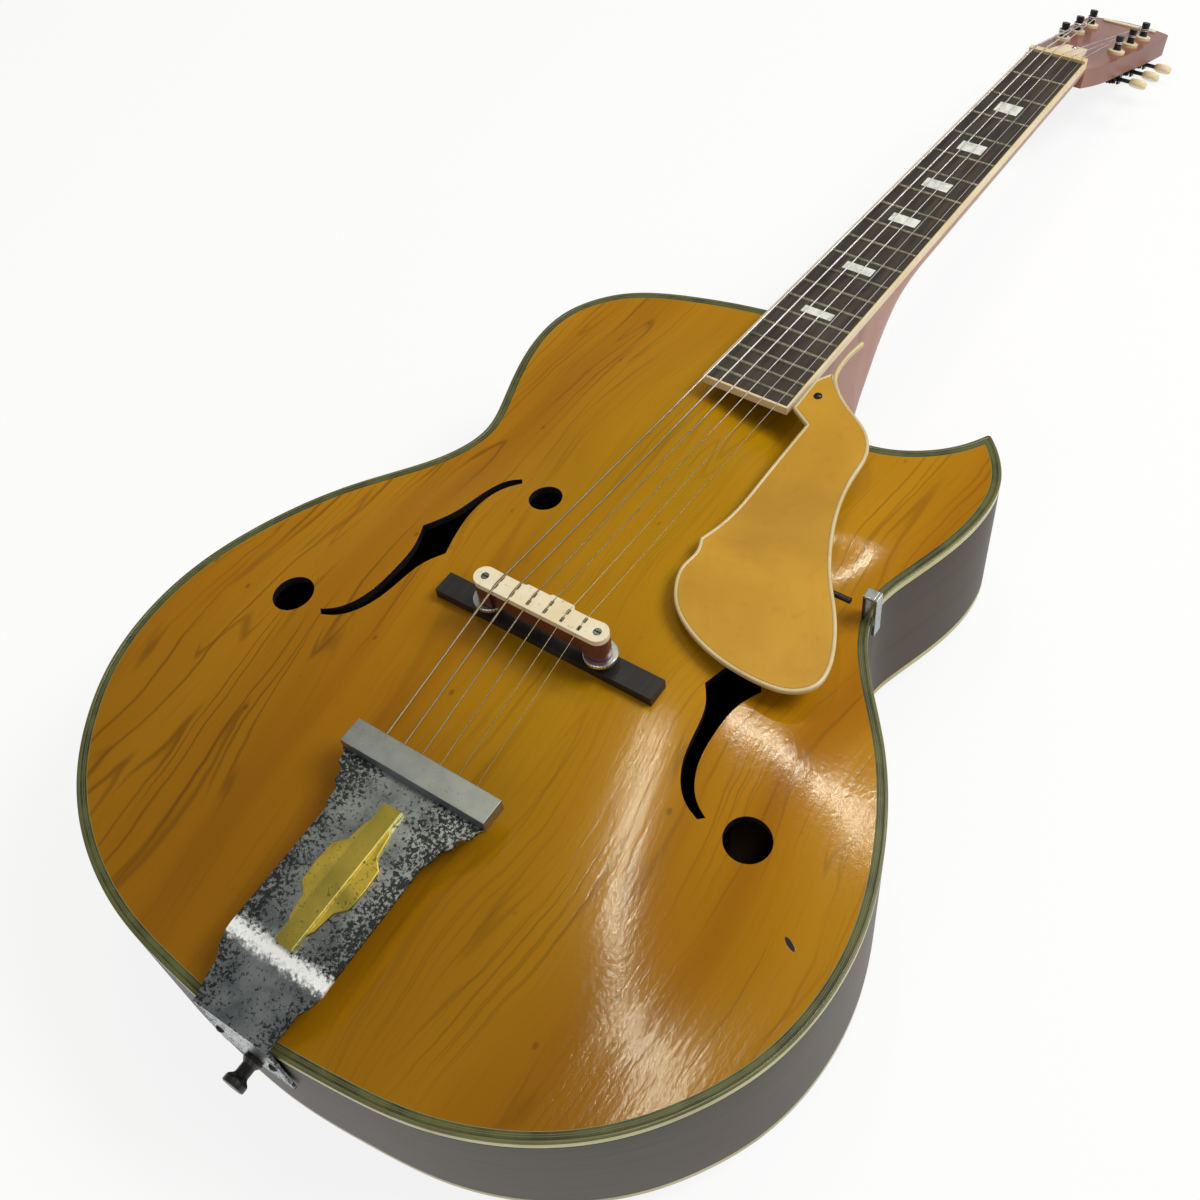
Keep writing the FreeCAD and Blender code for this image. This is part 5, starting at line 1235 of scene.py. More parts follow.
def fret_tree() -> Grower:
    """A tree that sets a round-crowned bar on each point, as long as the point says.

    Returns:
        The tree.
    """
    g = Grower("fret_row", Width=0.0024, Rise=0.0011, Lean=-0.087)
    line = g.add("GeometryNodeCurvePrimitiveLine", None, {"Start": (-1.0, 0.0, 0.0), "End": (1.0, 0.0, 0.0)})
    line = g.add("GeometryNodeSetCurveNormal", {"mode": "Z_UP"}, {0: line})
    ring = g.add("GeometryNodeCurvePrimitiveCircle", None, {"Resolution": 14, "Radius": 1.0})
    wide = g.vector(g.sum("DIVIDE", g.size("Width"), 2.0), g.size("Rise"), 1.0)
    ring = g.add("GeometryNodeTransform", None, {"Geometry": ring, "Scale": wide})
    length = g.vector(g.attribute("half", "FLOAT"), 1.0, 1.0)
    g.scatter(g.swept(line, ring), Rotation=g.vector(g.size("Lean"), 0.0, 0.0), Scale=length)
    return g


def screw_tree() -> Grower:
    """A tree that sets a slotted round head on each point, turned as the point says.

    Returns:
        The tree.
    """
    g = Grower("slotted_heads", Radius=0.0024, Rise=0.0014, Slot=0.0006)
    ball = g.add("GeometryNodeMeshUVSphere", None, {"Segments": 20, "Rings": 10, "Radius": 1.0})
    scale = g.vector(g.size("Radius"), g.size("Radius"), g.size("Rise"))
    head = g.add("GeometryNodeTransform", None, {"Geometry": ball, "Scale": scale})
    wide = g.vector(g.sum("MULTIPLY", g.size("Radius"), 4.0), g.size("Slot"), g.size("Rise"))
    lift = g.vector(0.0, 0.0, g.sum("MULTIPLY", g.size("Rise"), 0.95))
    slot = g.add("GeometryNodeMeshCube", None, {"Size": wide})
    slot = g.add("GeometryNodeTransform", None, {"Geometry": slot, "Translation": lift})
    head = g.add("GeometryNodeMeshBoolean", {"operation": "DIFFERENCE", "solver": "EXACT"},
                 {"Mesh 1": head, "Mesh 2": slot})
    g.scatter(head, Rotation=g.attribute("turn", "FLOAT_VECTOR"))
    return g


def wheel_tree() -> Grower:
    """A tree that sets a knurled wheel on each point.

    Returns:
        The tree.
    """
    g = Grower("knurled_wheel", Radius=0.009, Knurl=0.0005, Thick=0.0024, Teeth=36)
    root = g.sum("SUBTRACT", g.size("Radius"), g.size("Knurl"))
    star = g.add("GeometryNodeCurveStar", None,
                 {"Points": g.size("Teeth"), "Inner Radius": root, "Outer Radius": g.size("Radius"),
                  "Twist": 0.0})
    disc = g.add("GeometryNodeFillCurve", {"mode": "NGONS"}, {0: star})
    up = g.vector(0.0, 0.0, g.size("Thick"))
    body = g.add("GeometryNodeExtrudeMesh", None, {"Mesh": disc, "Offset": up, "Individual": False})
    under = g.add("GeometryNodeFlipFaces", None, {0: disc})
    both = g.add("GeometryNodeJoinGeometry")
    for half in (body, under):
        g.tree.links.new(half, both.node.inputs[0])
    g.scatter(g.add("GeometryNodeMergeByDistance", None, {"Geometry": both, "Distance": 1e-6}))
    return g


def set_attribute(mesh: Mesh, name: str, kind: str, items: Any) -> None:
    """Stores one value per point for a tree to read.

    Args:
        mesh: The mesh.
        name: The attribute's name.
        kind: FLOAT or FLOAT_VECTOR.
        items: One number or vector for each point.
    """
    made = mesh.attributes.new(name, kind, "POINT")
    field = "value" if kind == "FLOAT" else "vector"
    made.data.foreach_set(field, np.asarray(items, np.float32).ravel())


# sound box


@dataclass
class SoundBox:
    """Arched plates, bent sides and bound edges. Lengths in millimetres."""

    maker: Maker
    palette: Palette
    length: float = 508.0
    lower_half: float = 205.5
    lower_y: float = 152.0
    waist_half: float = 126.5
    waist_y: float = 340.0
    upper_half: float = 146.7
    upper_y: float = 426.0
    depth: float = 89.0
    plate: float = 5.0
    top_arch: float = 14.0
    back_arch: float = 14.0
    rib: float = 3.0
    binding: float = 2.2
    purfling: float = 3.2
    heel_half: float = 25.0
    heel_root: float = 447.0
    tip: Pair = (125.0, 478.0)
    floor_y: float = 435.5
    arch_centre: float = 0.62
    arch_power: int = 3
    flat_share: float = 0.08
    fade_start: float = 9.0
    fade_reach: float = 60.0
    grid_margin: float = 6.0
    grid_counts: tuple[int, int] = (35, 43)
    beyond: Pair = (200.0, 540.0)
    mesh_step: float = 5.5
    rim_steps: int = 10
    curve_steps: int = 12
    slot_steps: int = 6
    eye_steps: int = 40
    rib_rows: int = 6
    hard: float = 50.0
    edge_round: float = 0.7
    edge_proud: float = 0.03
    band_deep: float = 1.4
    band_rise: float = 0.06
    slot_low: Pair = (76.7, 185.5)
    slot_high: Pair = (118.0, 313.8)

    TAIL = ((0.0, 0.0), (0.219, 0.021), (0.414, 0.063), (0.56, 0.132), (0.681, 0.224), (0.793, 0.352),
            (0.89, 0.52), (0.959, 0.704), (1.0, 1.0))
    WAIST = ((0.025, 0.154), (0.133, 0.324), (0.278, 0.468), (0.487, 0.617), (0.728, 0.75), (0.918, 0.872),
             (1.0, 1.0))
    UPPER = ((0.272, 0.279), (0.644, 0.535), (0.916, 0.79), (1.0, 1.0))
    SHOULDER = ((0.982, 0.244), (0.927, 0.439), (0.832, 0.622), (0.702, 0.756), (0.545, 0.854),
                (0.375, 0.933))
    CUTAWAY = ((0.0, 0.27), (0.13, 0.07), (0.3, 0.0), (0.51, 0.047), (0.71, 0.247), (0.88, 0.576), (1.0, 1.0),
               (1.08, 1.43))
    SLOT = ((0.7, 0.574), (0.574, 0.475), (0.537, 0.328), (0.6, 0.171), (0.826, 0.054), (1.0, 0.02),
            (0.93, 0.0), (0.748, 0.024), (0.46, 0.135), (0.343, 0.283), (0.25, 0.41), (0.094, 0.488),
            (0.192, 0.604), (0.262, 0.77), (0.143, 0.927), (0.0, 0.977), (0.06, 1.0), (0.19, 0.977),
            (0.366, 0.863), (0.471, 0.702))
    SLOT_CORNERS = (0, 5, 6, 11, 15, 16)
    EYES = ((57.0, 306.3, 9.3), (139.3, 189.5, 11.5))

    def __post_init__(self) -> None:
        """Works out the outline and the arch."""
        self.whole = self.half_outline()
        self.curve = self.cutaway_curve()
        self.shares = self.arch_grid()

    def half_outline(self) -> Points:
        """The outline without its cutaway, from the bass neck corner round the tail.

        Returns:
            Dense points of the outline.
        """
        half = [(self.lower_half * a, self.lower_y * b) for a, b in self.TAIL]
        bands = ((self.WAIST, self.lower_half, self.waist_half, self.lower_y, self.waist_y),
                 (self.UPPER, self.waist_half, self.upper_half, self.waist_y, self.upper_y))
        for shares, near, far, low, high in bands:
            half += [(near + (far - near) * a, low + (high - low) * b) for a, b in shares]
        rest = self.length - self.upper_y
        half += [(self.upper_half * a, self.upper_y + rest * b) for a, b in self.SHOULDER]
        half.append((self.heel_half, self.length))
        bass = [(-x, y) for x, y in reversed(half[1:])]
        return spline(bass + half, self.rim_steps)

    def cutaway_curve(self) -> Points:
        """The cutaway's curve from beyond its tip to the heel.

        Returns:
            Dense points of the curve.
        """
        wide, tall = self.tip[0] - self.heel_half, self.tip[1] - self.floor_y
        knots = [(self.heel_half + wide * a, self.floor_y + tall * b) for a, b in self.CUTAWAY]
        return spline(knots, self.curve_steps)[::-1]

    def stretches(self, inset: float) -> tuple[Points, Points]:
        """The two smooth stretches of the rim, moved inwards and trimmed where they meet.

        Args:
            inset: How far inside the rim.

        Returns:
            The long stretch to the cutaway's tip, and the cutaway's own.
        """
        outer, inner = shifted(self.whole, inset), shifted(self.curve, inset)
        for i in range(len(outer) - 1, 0, -1):
            for j in range(len(inner) - 1):
                spot = crossing(outer[i - 1], outer[i], inner[j], inner[j + 1])
                if spot is not None:
                    return np.vstack([outer[:i], spot]), np.vstack([spot, inner[j + 1:]])
        return outer, inner

    def arch_grid(self) -> dict[str, Any]:
        """Shares of the arch's height over an even grid.

        Returns:
            The grid's origin, step and shares.
        """
        centre = np.array([0.0, self.length * self.arch_centre])
        out = np.vstack([self.whole, [[0.0, self.length]]]) - centre
        angles = np.arctan2(out[:, 1], out[:, 0])
        order = np.argsort(angles)
        reach = np.linalg.norm(out, axis=1)[order]
        side = self.lower_half + self.grid_margin
        xs = np.linspace(-side, side, self.grid_counts[0])
        ys = np.linspace(-self.grid_margin, self.length + self.grid_margin, self.grid_counts[1])
        gx, gy = np.meshgrid(xs, ys)
        spots = np.stack([gx.ravel(), gy.ravel()], 1)
        away = spots - centre
        limit = np.interp(np.arctan2(away[:, 1], away[:, 0]), angles[order], reach, period=math.tau)
        ratio = np.linalg.norm(away, axis=1) / limit
        rise = np.clip(1 - (ratio / (1 - self.flat_share)) ** self.arch_power, 0, None) ** 2
        gap = np.min(np.linalg.norm(spots[:, None] - self.curve[None], axis=2), axis=1)
        wide, tall = self.beyond
        corners = [[0.0, self.curve[-1][1]], [0.0, tall], [wide, tall], [wide, self.curve[0][1]]]
        gap[inside(spots, np.vstack([self.curve, corners]))] = 0.0
        fade = np.clip((gap - self.fade_start) / self.fade_reach, 0, 1)
        shares = (rise * fade * fade * (3 - 2 * fade)).reshape(gx.shape)
        return {"x": xs, "y": ys, "shares": shares}

    def arch_share(self, flat: Points) -> np.ndarray:
        """Share of the arch's height, smoothed over the grid.

        Args:
            flat: Flat points.

        Returns:
            The share at each point.
        """
        grid = self.shares
        u = (flat[:, 0] - grid["x"][0]) / (grid["x"][1] - grid["x"][0])
        v = (flat[:, 1] - grid["y"][0]) / (grid["y"][1] - grid["y"][0])
        rows, columns = grid["shares"].shape
        total = np.zeros(len(flat))
        iu, iv = np.floor(u).astype(int), np.floor(v).astype(int)
        weights = [[basis(t - i, k) for k in range(4)] for t, i in ((u, iu), (v, iv))]
        for a in range(4):
            for b in range(4):
                x = np.clip(iu + a - 1, 0, columns - 1)
                y = np.clip(iv + b - 1, 0, rows - 1)
                total += weights[0][a] * weights[1][b] * grid["shares"][y, x]
        return total

    def plan(self, inset: float, notched: bool) -> Points:
        """A plate's closed outline.

        Args:
            inset: How far inside the rim.
            notched: True for the top with its notch, False for the back that runs on under the heel.

        Returns:
            The outline's points.
        """
        outer, inner = self.stretches(inset)
        half, root, end = self.heel_half, self.heel_root - inset, self.length - inset
        if notched:
            return np.vstack([outer, inner[1:], [(half, root), (-half, root), (-half, end)]])
        return np.vstack([outer, inner[1:-1], [(half - inset, end)]])

    def filling(self, outline: Points, holes: Sequence[Points]) -> Points:
        """Even points inside an outline, clear of its edge and its holes.

        Args:
            outline: The outline's points.
            holes: Outlines of its holes.

        Returns:
            The points.
        """
        low, high = outline.min(0), outline.max(0)
        xs = np.arange(low[0], high[0], self.mesh_step)
        ys = np.arange(low[1], high[1], self.mesh_step * 0.866)
        spots = np.array([(x + (row % 2) * self.mesh_step / 2, y) for row, y in enumerate(ys) for x in xs])
        spots = spots[inside(spots, outline)]
        for hole in holes:
            spots = spots[~inside(spots, hole)]
        edges = np.vstack([outline, *holes])
        gaps = np.min(np.linalg.norm(spots[:, None] - edges[None], axis=2), axis=1)
        return spots[gaps > self.mesh_step * 0.45]

    def holes(self) -> list[Points]:
        """Outlines of the sound holes on both sides.

        Returns:
            Slot and eyes of one side, then of the other.
        """
        (left, near), (right, far) = self.slot_low, self.slot_high
        knots = [(left + (right - left) * a, near + (far - near) * b) for a, b in self.SLOT]
        made = [cornered(knots, self.SLOT_CORNERS, self.slot_steps)]
        made += [circle(*eye, self.eye_steps) for eye in self.EYES]
        return made + [hole * (-1, 1) for hole in made]

    def build_top(self) -> None:
        """The arched top with its sound holes."""
        outline, holes = self.plan(self.binding + self.purfling - 0.2, True), self.holes()
        flat, triangles = flat_sheet(outline, holes, self.filling(outline, holes))
        height = self.arch_share(flat) * self.top_arch
        piece = self.maker.shell("top", raised(flat, height), raised(flat, height - self.plate), triangles)
        ease(piece, 0.3, 2, self.hard)
        self.maker.dressed(piece, self.palette.top, "top_wood", ["top_plate"], angle=self.hard)
        self.line(piece, -1)

    def build_back(self) -> None:
        """The arched back."""
        outline = self.plan(self.binding - 0.1, False)
        flat, triangles = flat_sheet(outline, [], self.filling(outline, []))
        height = -self.depth - self.arch_share(flat) * self.back_arch
        piece = self.maker.shell("back", raised(flat, height + self.plate), raised(flat, height), triangles)
        self.maker.dressed(piece, self.palette.back, "side_wood", ["back_plate"], angle=self.hard)
        self.line(piece, 1)

    def line(self, piece: Object, way: int) -> None:
        """Gives the inner face of a plate the inside's wood, darkened as painted shade, and the walls of its
        holes a near-black finish.

        Args:
            piece: The plate.
            way: 1 where the inner face looks up, -1 where it looks down.
        """
        piece.data.materials.append(self.palette.inner)
        piece.data.materials.append(self.palette.foot)
        for face in piece.data.polygons:
            # inner faces get the darkened inside wood (painted shade); walls of the holes get the near-black
            # finish
            if face.normal.z * way > 0.5:
                face.material_index = 1
            elif abs(face.normal.z) < 0.6:
                face.material_index = 2

    def build_sides(self) -> None:
        """The three bent ribs, each with a lengthwise map for its grain."""
        outer, cutaway = self.stretches(0.0)
        inner, inner_cut = self.stretches(self.rib)
        tail, tail_in = [int(np.argmin(np.abs(line).sum(1))) for line in (outer, inner)]
        parts = (("bass_rib", outer[:tail + 1], inner[:tail_in + 1], "bass_side"),
                 ("treble_rib", outer[tail:], inner[tail_in:], "treble_side"),
                 ("cutaway_rib", cutaway, inner_cut, "cutaway_side"))
        for name, face, hidden, node in parts:
            piece = self.rib_strip(name, face, hidden)
            self.maker.dressed(piece, self.palette.side, "side_wood", [node], angle=self.hard)

    def rib_strip(self, name: str, face: Points, hidden: Points) -> Object:
        """One bent rib between the two plates.

        Args:
            name: The piece's name.
            face: Its outer line.
            hidden: Its inner line.

        Returns:
            The rib.
        """
        levels = np.linspace(-self.depth + self.plate, -self.plate, self.rib_rows)
        count = len(face)
        hidden = resampled(hidden, count)
        rows = [raised(face, z) for z in levels] + [raised(hidden, z) for z in levels[::-1]]
        points = np.vstack(rows)
        piece = self.maker.mesh_object(name, self.maker.place(points), tube_faces(0, count, len(rows)))
        travel = np.concatenate([[0.0], np.cumsum(np.linalg.norm(np.diff(face, axis=0), axis=1))]) * MM
        layer = piece.data.uv_layers.new(name="along")
        for loop in piece.data.loops:
            row, column = divmod(loop.vertex_index, count)
            layer.data[loop.index].uv = (travel[column], points[row * count][2] * MM)
        return piece

    def build_edges(self) -> None:
        """Bindings on both edges and the plied band in the top."""
        tree = sweep_tree()
        half = self.binding / 2
        level = self.plate / 2 - self.edge_proud
        paths = {"top_edge": (self.stretches(half), -level, "top_binding"),
                 "back_edge": (self.back_path(half), -self.depth + level, "back_binding")}
        for name, (lines, height, node) in paths.items():
            piece = self.path_object(name, lines, height)
            tree.grow(piece, self.palette.binding, Width=self.binding * MM, Height=(self.plate + 0.02) * MM,
                      Round=self.edge_round * MM)
            self.maker.dressed(piece, self.palette.binding, "binding", [node])
            piece.data.materials.append(self.palette.rim)
            for face in piece.data.polygons:
                face.material_index = int(face.normal.z > 0.5)
        self.build_band()

    def back_path(self, inset: float) -> tuple[Points, ...]:
        """The back's bound stretches, with the side along the heel.

        Args:
            inset: How far inside the rim.

        Returns:
            The long stretch, and the cutaway's with the heel's side.
        """
        outer, inner = self.stretches(inset)
        x = self.heel_half - inset
        return outer, np.vstack([inner, [(x, inner[-1][1] + 4.0), (x, self.length - 0.5)]])

    def path_object(self, name: str, lines: Sequence[Points], height: float) -> Object:
        """Paths as loose edges for a sweep.

        Args:
            name: The piece's name.
            lines: Flat lines in millimetres.
            height: Their height.

        Returns:
            The object that holds the edges.
        """
        points, edges = [], []
        for line in lines:
            edges += chain(len(line), len(points))
            points += [(x, y, height) for x, y in line]
        return self.maker.mesh_object(name, self.maker.place(points), [], edges)

    def build_band(self) -> None:
        """The plied band: a shallow strip in the top, mapped across its width."""
        points, faces, across = [], [], []
        ends = [self.stretches(self.binding - 0.15), self.stretches(self.binding + self.purfling)]
        for near, far in zip(*ends):
            far = resampled(far, len(near))
            start, count = len(points), len(near)
            rows = ((near, 0.0, 1.0), (far, self.band_rise, 0.0), (far, -self.band_deep, 0.0),
                    (near, -self.band_deep, 1.0))
            for line, height, share in rows:
                points += [(x, y, height) for x, y in line]
                across += [share] * count
            faces += tube_faces(start, count, len(rows))
        piece = self.maker.mesh_object("plied_edge", self.maker.place(points), faces)
        layer = piece.data.uv_layers.new(name="across")
        for loop in piece.data.loops:
            layer.data[loop.index].uv = (0.0, across[loop.vertex_index])
        self.maker.dressed(piece, self.palette.band, "purfling", ["top_purfling"])

    def build(self) -> None:
        """Makes every piece of the box and dresses its inside."""
        self.build_top()
        self.build_back()
        self.build_sides()
        self.build_edges()
        # the blocks, linings and tone bars take the inside's wood, darkened as painted shade
        for node in ("neck_block", "tail_block", "cutaway_block", "top_linings", "back_linings", "tone_bars"):
            repaint(node, self.palette.inner)


def basis(t: np.ndarray, k: int) -> np.ndarray:
    """One of the four weights of an even cubic spline.

    Args:
        t: Places between two knots, from 0 to 1.
        k: Which of the four knots around them.

    Returns:
        The knot's weight at each place.
    """
    cubics = ((1, -3, 3, -1), (4, 0, -6, 3), (1, 3, 3, -3), (0, 0, 0, 1))
    return sum(factor * t ** power for power, factor in enumerate(cubics[k])) / 6


def crossing(a: Points, b: Points, c: Points, d: Points) -> Points | None:
    """Where two short lines cross.

    Args:
        a: Start of the first line.
        b: End of the first line.
        c: Start of the second line.
        d: End of the second line.

    Returns:
        The crossing, or None.
    """
    r, s = b - a, d - c
    cross = r[0] * s[1] - r[1] * s[0]
    if abs(cross) < 1e-12:
        return None
    t = ((c - a)[0] * s[1] - (c - a)[1] * s[0]) / cross
    u = ((c - a)[0] * r[1] - (c - a)[1] * r[0]) / cross
    return a + r * t if 0 <= t <= 1 and 0 <= u <= 1 else None


def resampled(line: Points, count: int) -> Points:
    """A line with another number of points, spread as its own are.

    Args:
        line: The line's points.
        count: How many it shall have.

    Returns:
        The new points.
    """
    steps = np.arange(len(line))
    stops = np.linspace(0, len(line) - 1, count)
    return np.stack([np.interp(stops, steps, line[:, axis]) for axis in range(line.shape[1])], 1)


def repaint(node: str, material: Material) -> None:
    """Gives a CAD node that stays in place a better finish.

    Args:
        node: The node.
        material: The finish.
    """
    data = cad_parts[node].data
    data.materials.clear()
    data.materials.append(material)


# neck


@dataclass
class Neck:
    """Neck, fingerboard and head. Lengths in millimetres."""

    maker: Maker
    palette: Palette
    joint_y: float = 511.4
    board_height: float = 13.7
    angle: float = 5.0
    head_angle: float = 15.0
    scale: float = 628.0
    joint_fret: int = 14
    frets: int = 20
    end_gap: float = 10.0
    board: float = 5.5
    nut_width: float = 43.0
    end_width: float = 55.0
    binding: float = 1.7
    nut: float = 5.0
    fret_width: float = 2.4
    fret_rise: float = 1.1
    heel_half: float = 25.0
    heel_joint: float = 508.0
    heel_step: float = 1.6
    edge_steps: int = 24
    edge_round: float = 0.4

    def __post_init__(self) -> None:
        """Works out the neck's and the head's frames."""
        self.nut_y = self.scale * (1 - 2 ** (-self.joint_fret / 12))
        self.end_y = self.fret_y(self.frets) - self.end_gap
        self.neck_frame = Matrix.Translation((0, self.joint_y, self.board_height)) @ Matrix.Rotation(
            math.radians(-self.angle), 4, "X")
        self.head_frame = self.neck_frame @ Matrix.Translation((0, self.nut_y + self.nut, -self.board)) @ \
            Matrix.Rotation(math.radians(-self.head_angle), 4, "X")

    def on_neck(self, points: Any) -> Points:
        """Points of the neck's frame in the drawing's frame."""
        return np.array([tuple(self.neck_frame @ Vector(point)) for point in points])

    def on_head(self, points: Any) -> Points:
        """Points of the head's frame in the drawing's frame."""
        return np.array([tuple(self.head_frame @ Vector(point)) for point in points])

    def fret_y(self, number: float) -> float:
        """Place of a fret along the neck."""
        return self.nut_y - self.scale * (1 - 2 ** (-number / 12))

    def half_width(self, y: float) -> float:
        """Half the board's width at a place along the neck."""
        share = (self.nut_y - y) / (self.nut_y - self.end_y)
        return (self.nut_width + (self.end_width - self.nut_width) * share) / 2

    def build_frets(self) -> None:
        """The row of frets."""
        numbers = range(1, self.frets + 1)
        spots = self.on_neck([(0.0, self.fret_y(number), 0.0) for number in numbers])
        piece = self.maker.mesh_object("fret_row", self.maker.place(spots), [])
        halves = [(self.half_width(self.fret_y(number) + 1.2) - self.binding) * MM for number in numbers]
        set_attribute(piece.data, "half", "FLOAT", halves)
        fret_tree().grow(piece, self.palette.fret, Width=self.fret_width * MM, Rise=self.fret_rise * MM,
                         Lean=math.radians(-self.angle))
        self.maker.dressed(piece, self.palette.fret, "fret_metal", ["frets"])

    def build_binding(self) -> None:
        """The cream edge round the board's sides and end."""
        inset = self.binding / 2
        wide, narrow = self.half_width(self.end_y) - inset, self.half_width(self.nut_y) - inset
        end = self.end_y + inset
        spots = [(-narrow, self.nut_y), (-wide, end), (wide, end), (narrow, self.nut_y)]
        runs = [np.linspace(a, b, self.edge_steps)[:-1] for a, b in zip(spots, spots[1:])]
        path = self.on_neck(raised(np.vstack([*runs, spots[-1:]]), -self.board / 2))
        piece = self.maker.path("board_edge", path)
        sweep_tree().grow(piece, self.palette.cream, Width=self.binding * MM, Height=(self.board + 0.05) * MM,
                          Round=self.edge_round * MM)
        self.maker.dressed(piece, self.palette.cream, "binding", ["fingerboard_binding"])

    def flush_neck(self) -> Object:
        """A copy of the neck whose heel is flush with its root in the body.

        Returns:
            The copy.
        """
        piece = self.maker.copy("neck")
        joint = float(self.maker.place([(0.0, self.heel_joint, 0.0)])[0][1])
        half = self.heel_half * MM
        with opened(piece.data) as form:
            for vert in form.verts:
                if abs(vert.co.y - joint) < 2e-4 and half < abs(vert.co.x) < half + self.heel_step * MM:
                    vert.co.x = math.copysign(half, vert.co.x)
            bmesh.ops.remove_doubles(form, verts=form.verts, dist=10 * WELD)
            bmesh.ops.dissolve_degenerate(form, edges=form.edges, dist=10 * WELD)
        return piece

    def build(self) -> None:
        """Makes the neck's pieces."""
        finish = self.palette
        self.maker.dressed(self.flush_neck(), finish.neck, "neck_wood", ["neck"], angle=32.0)
        for node, material, slot, bevel in (("fingerboard", finish.board, "dark_wood", 0.0),
                                            ("position_markers", finish.pearl, "pearl", 0.0),
                                            ("nut", finish.cream, "binding", 0.3),
                                            ("truss_rod_cover", finish.cream, "binding", 0.4),
                                            ("headstock_plaque", finish.cream, "binding", 0.3)):
            self.maker.redressed(node, material, slot, bevel)
        repaint("truss_rod", self.palette.gun)
        self.build_frets()
        self.build_binding()


# fittings


@dataclass
class Fittings:
    """Bridge, tailpiece, pickguard, end pin and screws. Lengths in millimetres."""

    maker: Maker
    palette: Palette
    wheel_radius: float = 9.0
    knurl: float = 0.5
    knurls: int = 36
    head_radius: float = 2.4
    head_rise: float = 1.4
    head_slot: float = 0.6
    stud_gap: float = 0.15
    guard_low: float = 18.8
    guard_high: float = 22.0
    guard_binding: float = 2.2
    guard_corner: Pair = (29.5, 255.6)
    guard_size: Pair = (102.5, 201.4)
    clip_share: float = 0.3744
    screw_share: Pair = (0.078, 0.896)
    clip_width: float = 6.5
    clip_depth: float = 8.0
    clip_low: float = -10.0
    sheet: float = 1.8
    rod_radius: float = 1.6
    rod_length: float = 22.0
    rod_gap: float = 4.0
    rod_offset: float = 8.0
    spacer_radius: float = 3.0
    spacer_reach: float = 8.0

    GUARD = ((0.063, 1.0), (0.0, 0.95), (0.0, 0.826), (0.125, 0.787), (0.116, 0.551), (0.09, 0.373),
             (0.052, 0.308), (0.079, 0.262), (0.068, 0.215), (0.098, 0.15), (0.157, 0.102), (0.29, 0.05),
             (0.53, 0.008), (0.755, 0.0), (0.9, 0.016), (0.986, 0.062), (0.989, 0.125), (0.95, 0.185),
             (0.852, 0.277), (0.748, 0.353), (0.65, 0.445), (0.565, 0.56), (0.522, 0.688), (0.505, 0.775),
             (0.43, 0.839), (0.277, 0.895), (0.135, 0.955))
    GUARD_CORNERS = (0, 1, 2, 3, 6)
    CAP_STEPS = ((26.0, -0.7), (16.6, -0.7), (15.4, 1.3), (2.6, 1.5), (1.4, 0.5), (-11.4, 0.6), (-12.6, -0.4),
                 (-26.0, -0.3))
    LOOSE = ((45.9, 444.0, 20.4), (40.7, 450.1, 20.6), (38.0, 455.1, 21.0), (37.0, 461.0, 21.5),
             (37.0, 469.8, 22.0), (37.9, 477.2, 22.2), (39.3, 484.3, 22.4))

    def guard_line(self) -> Points:
        """The pickguard's dense outline."""
        return cornered([self.on_guard(*share) for share in self.GUARD], self.GUARD_CORNERS, 8)

    def on_guard(self, across: float, along: float) -> Pair:
        """A place on the pickguard given by shares of its width and length."""
        (x, y), (wide, tall) = self.guard_corner, self.guard_size
        return x + wide * across, y + tall * along

    def build_guard(self) -> None:
        """The pickguard with its rounded cream edge, a strip of which has come loose at the tip."""
        line = self.guard_line()
        inner = shifted(line, self.guard_binding - 0.1, True)
        plate = self.maker.prism("guard_plate", inner, self.guard_low + 0.1, self.guard_high - 0.15)
        self.maker.dressed(plate, self.palette.guard, "guard", ["pickguard"])
        middle = shifted(line, self.guard_binding / 2, True)
        spots = raised(middle, (self.guard_low + self.guard_high) / 2)
        loose = spline(self.LOOSE, 6)
        edges = chain(len(spots)) + [(len(spots) - 1, 0)] + chain(len(loose), len(spots))
        edge = self.maker.mesh_object("guard_edge", self.maker.place(np.vstack([spots, loose])), [], edges)
        sweep_tree().grow(edge, self.palette.trim, Width=self.guard_binding * MM,
                          Height=(self.guard_high - self.guard_low) * MM, Round=0.9 * MM)
        self.maker.dressed(edge, self.palette.trim, "binding", ["pickguard_binding"])

    def build_clip(self) -> None:
        """The chromed clip folded over the rim with its black inner leg, the end of its rod, and the guard's
        spacer.
        """
        low, high = self.maker.place.box("pickguard_bracket")
        middle = self.on_guard(0.0, self.clip_share)[1]
        near, far = middle - self.clip_width / 2, middle + self.clip_width / 2
        outer, top = high[0], self.guard_low - 0.05
        inner = outer - self.clip_depth
        walls = {"clip_leg": (outer - self.sheet, outer, self.clip_low, top, self.palette.chrome),
                 "clip_crown": (inner, outer - self.sheet + 0.1, top - self.sheet, top, self.palette.chrome),
                 "clip_inner_leg": (inner, inner + self.sheet, 0.4, top - self.sheet + 0.1, self.palette.black)}
        for name, (left, right, bottom, roof, finish) in walls.items():
            plan = np.array([(left, near), (right, near), (right, far), (left, far)])
            piece = self.maker.prism(name, plan, bottom, roof, 0.4)
            self.maker.dressed(piece, finish, "chrome", ["pickguard_bracket"])
        tip = np.array((inner - self.rod_gap, middle - self.rod_offset, top - self.rod_radius))
        ends = [tip - (self.rod_length, 0.0, 0.0), tip]
        rod = self.maker.path("clip_rod", ends)
        wire_tree().grow(rod, self.palette.gun, Radius=self.rod_radius * MM, Sides=16)
        self.maker.dressed(rod, self.palette.gun, "chrome", ["pickguard_bracket"])
        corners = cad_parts["pickguard_bracket"].data.vertices
        foot = min(corner.co.z for corner in corners if corner.co.x < (low[0] + self.spacer_reach) * MM)
        ring = circle(*self.on_guard(*self.screw_share), self.spacer_radius)
        spacer = self.maker.prism("guard_spacer", ring, (foot - self.maker.place.shift[2]) / MM, top)
        self.maker.dressed(spacer, self.palette.bright, "chrome", ["pickguard_bracket"])

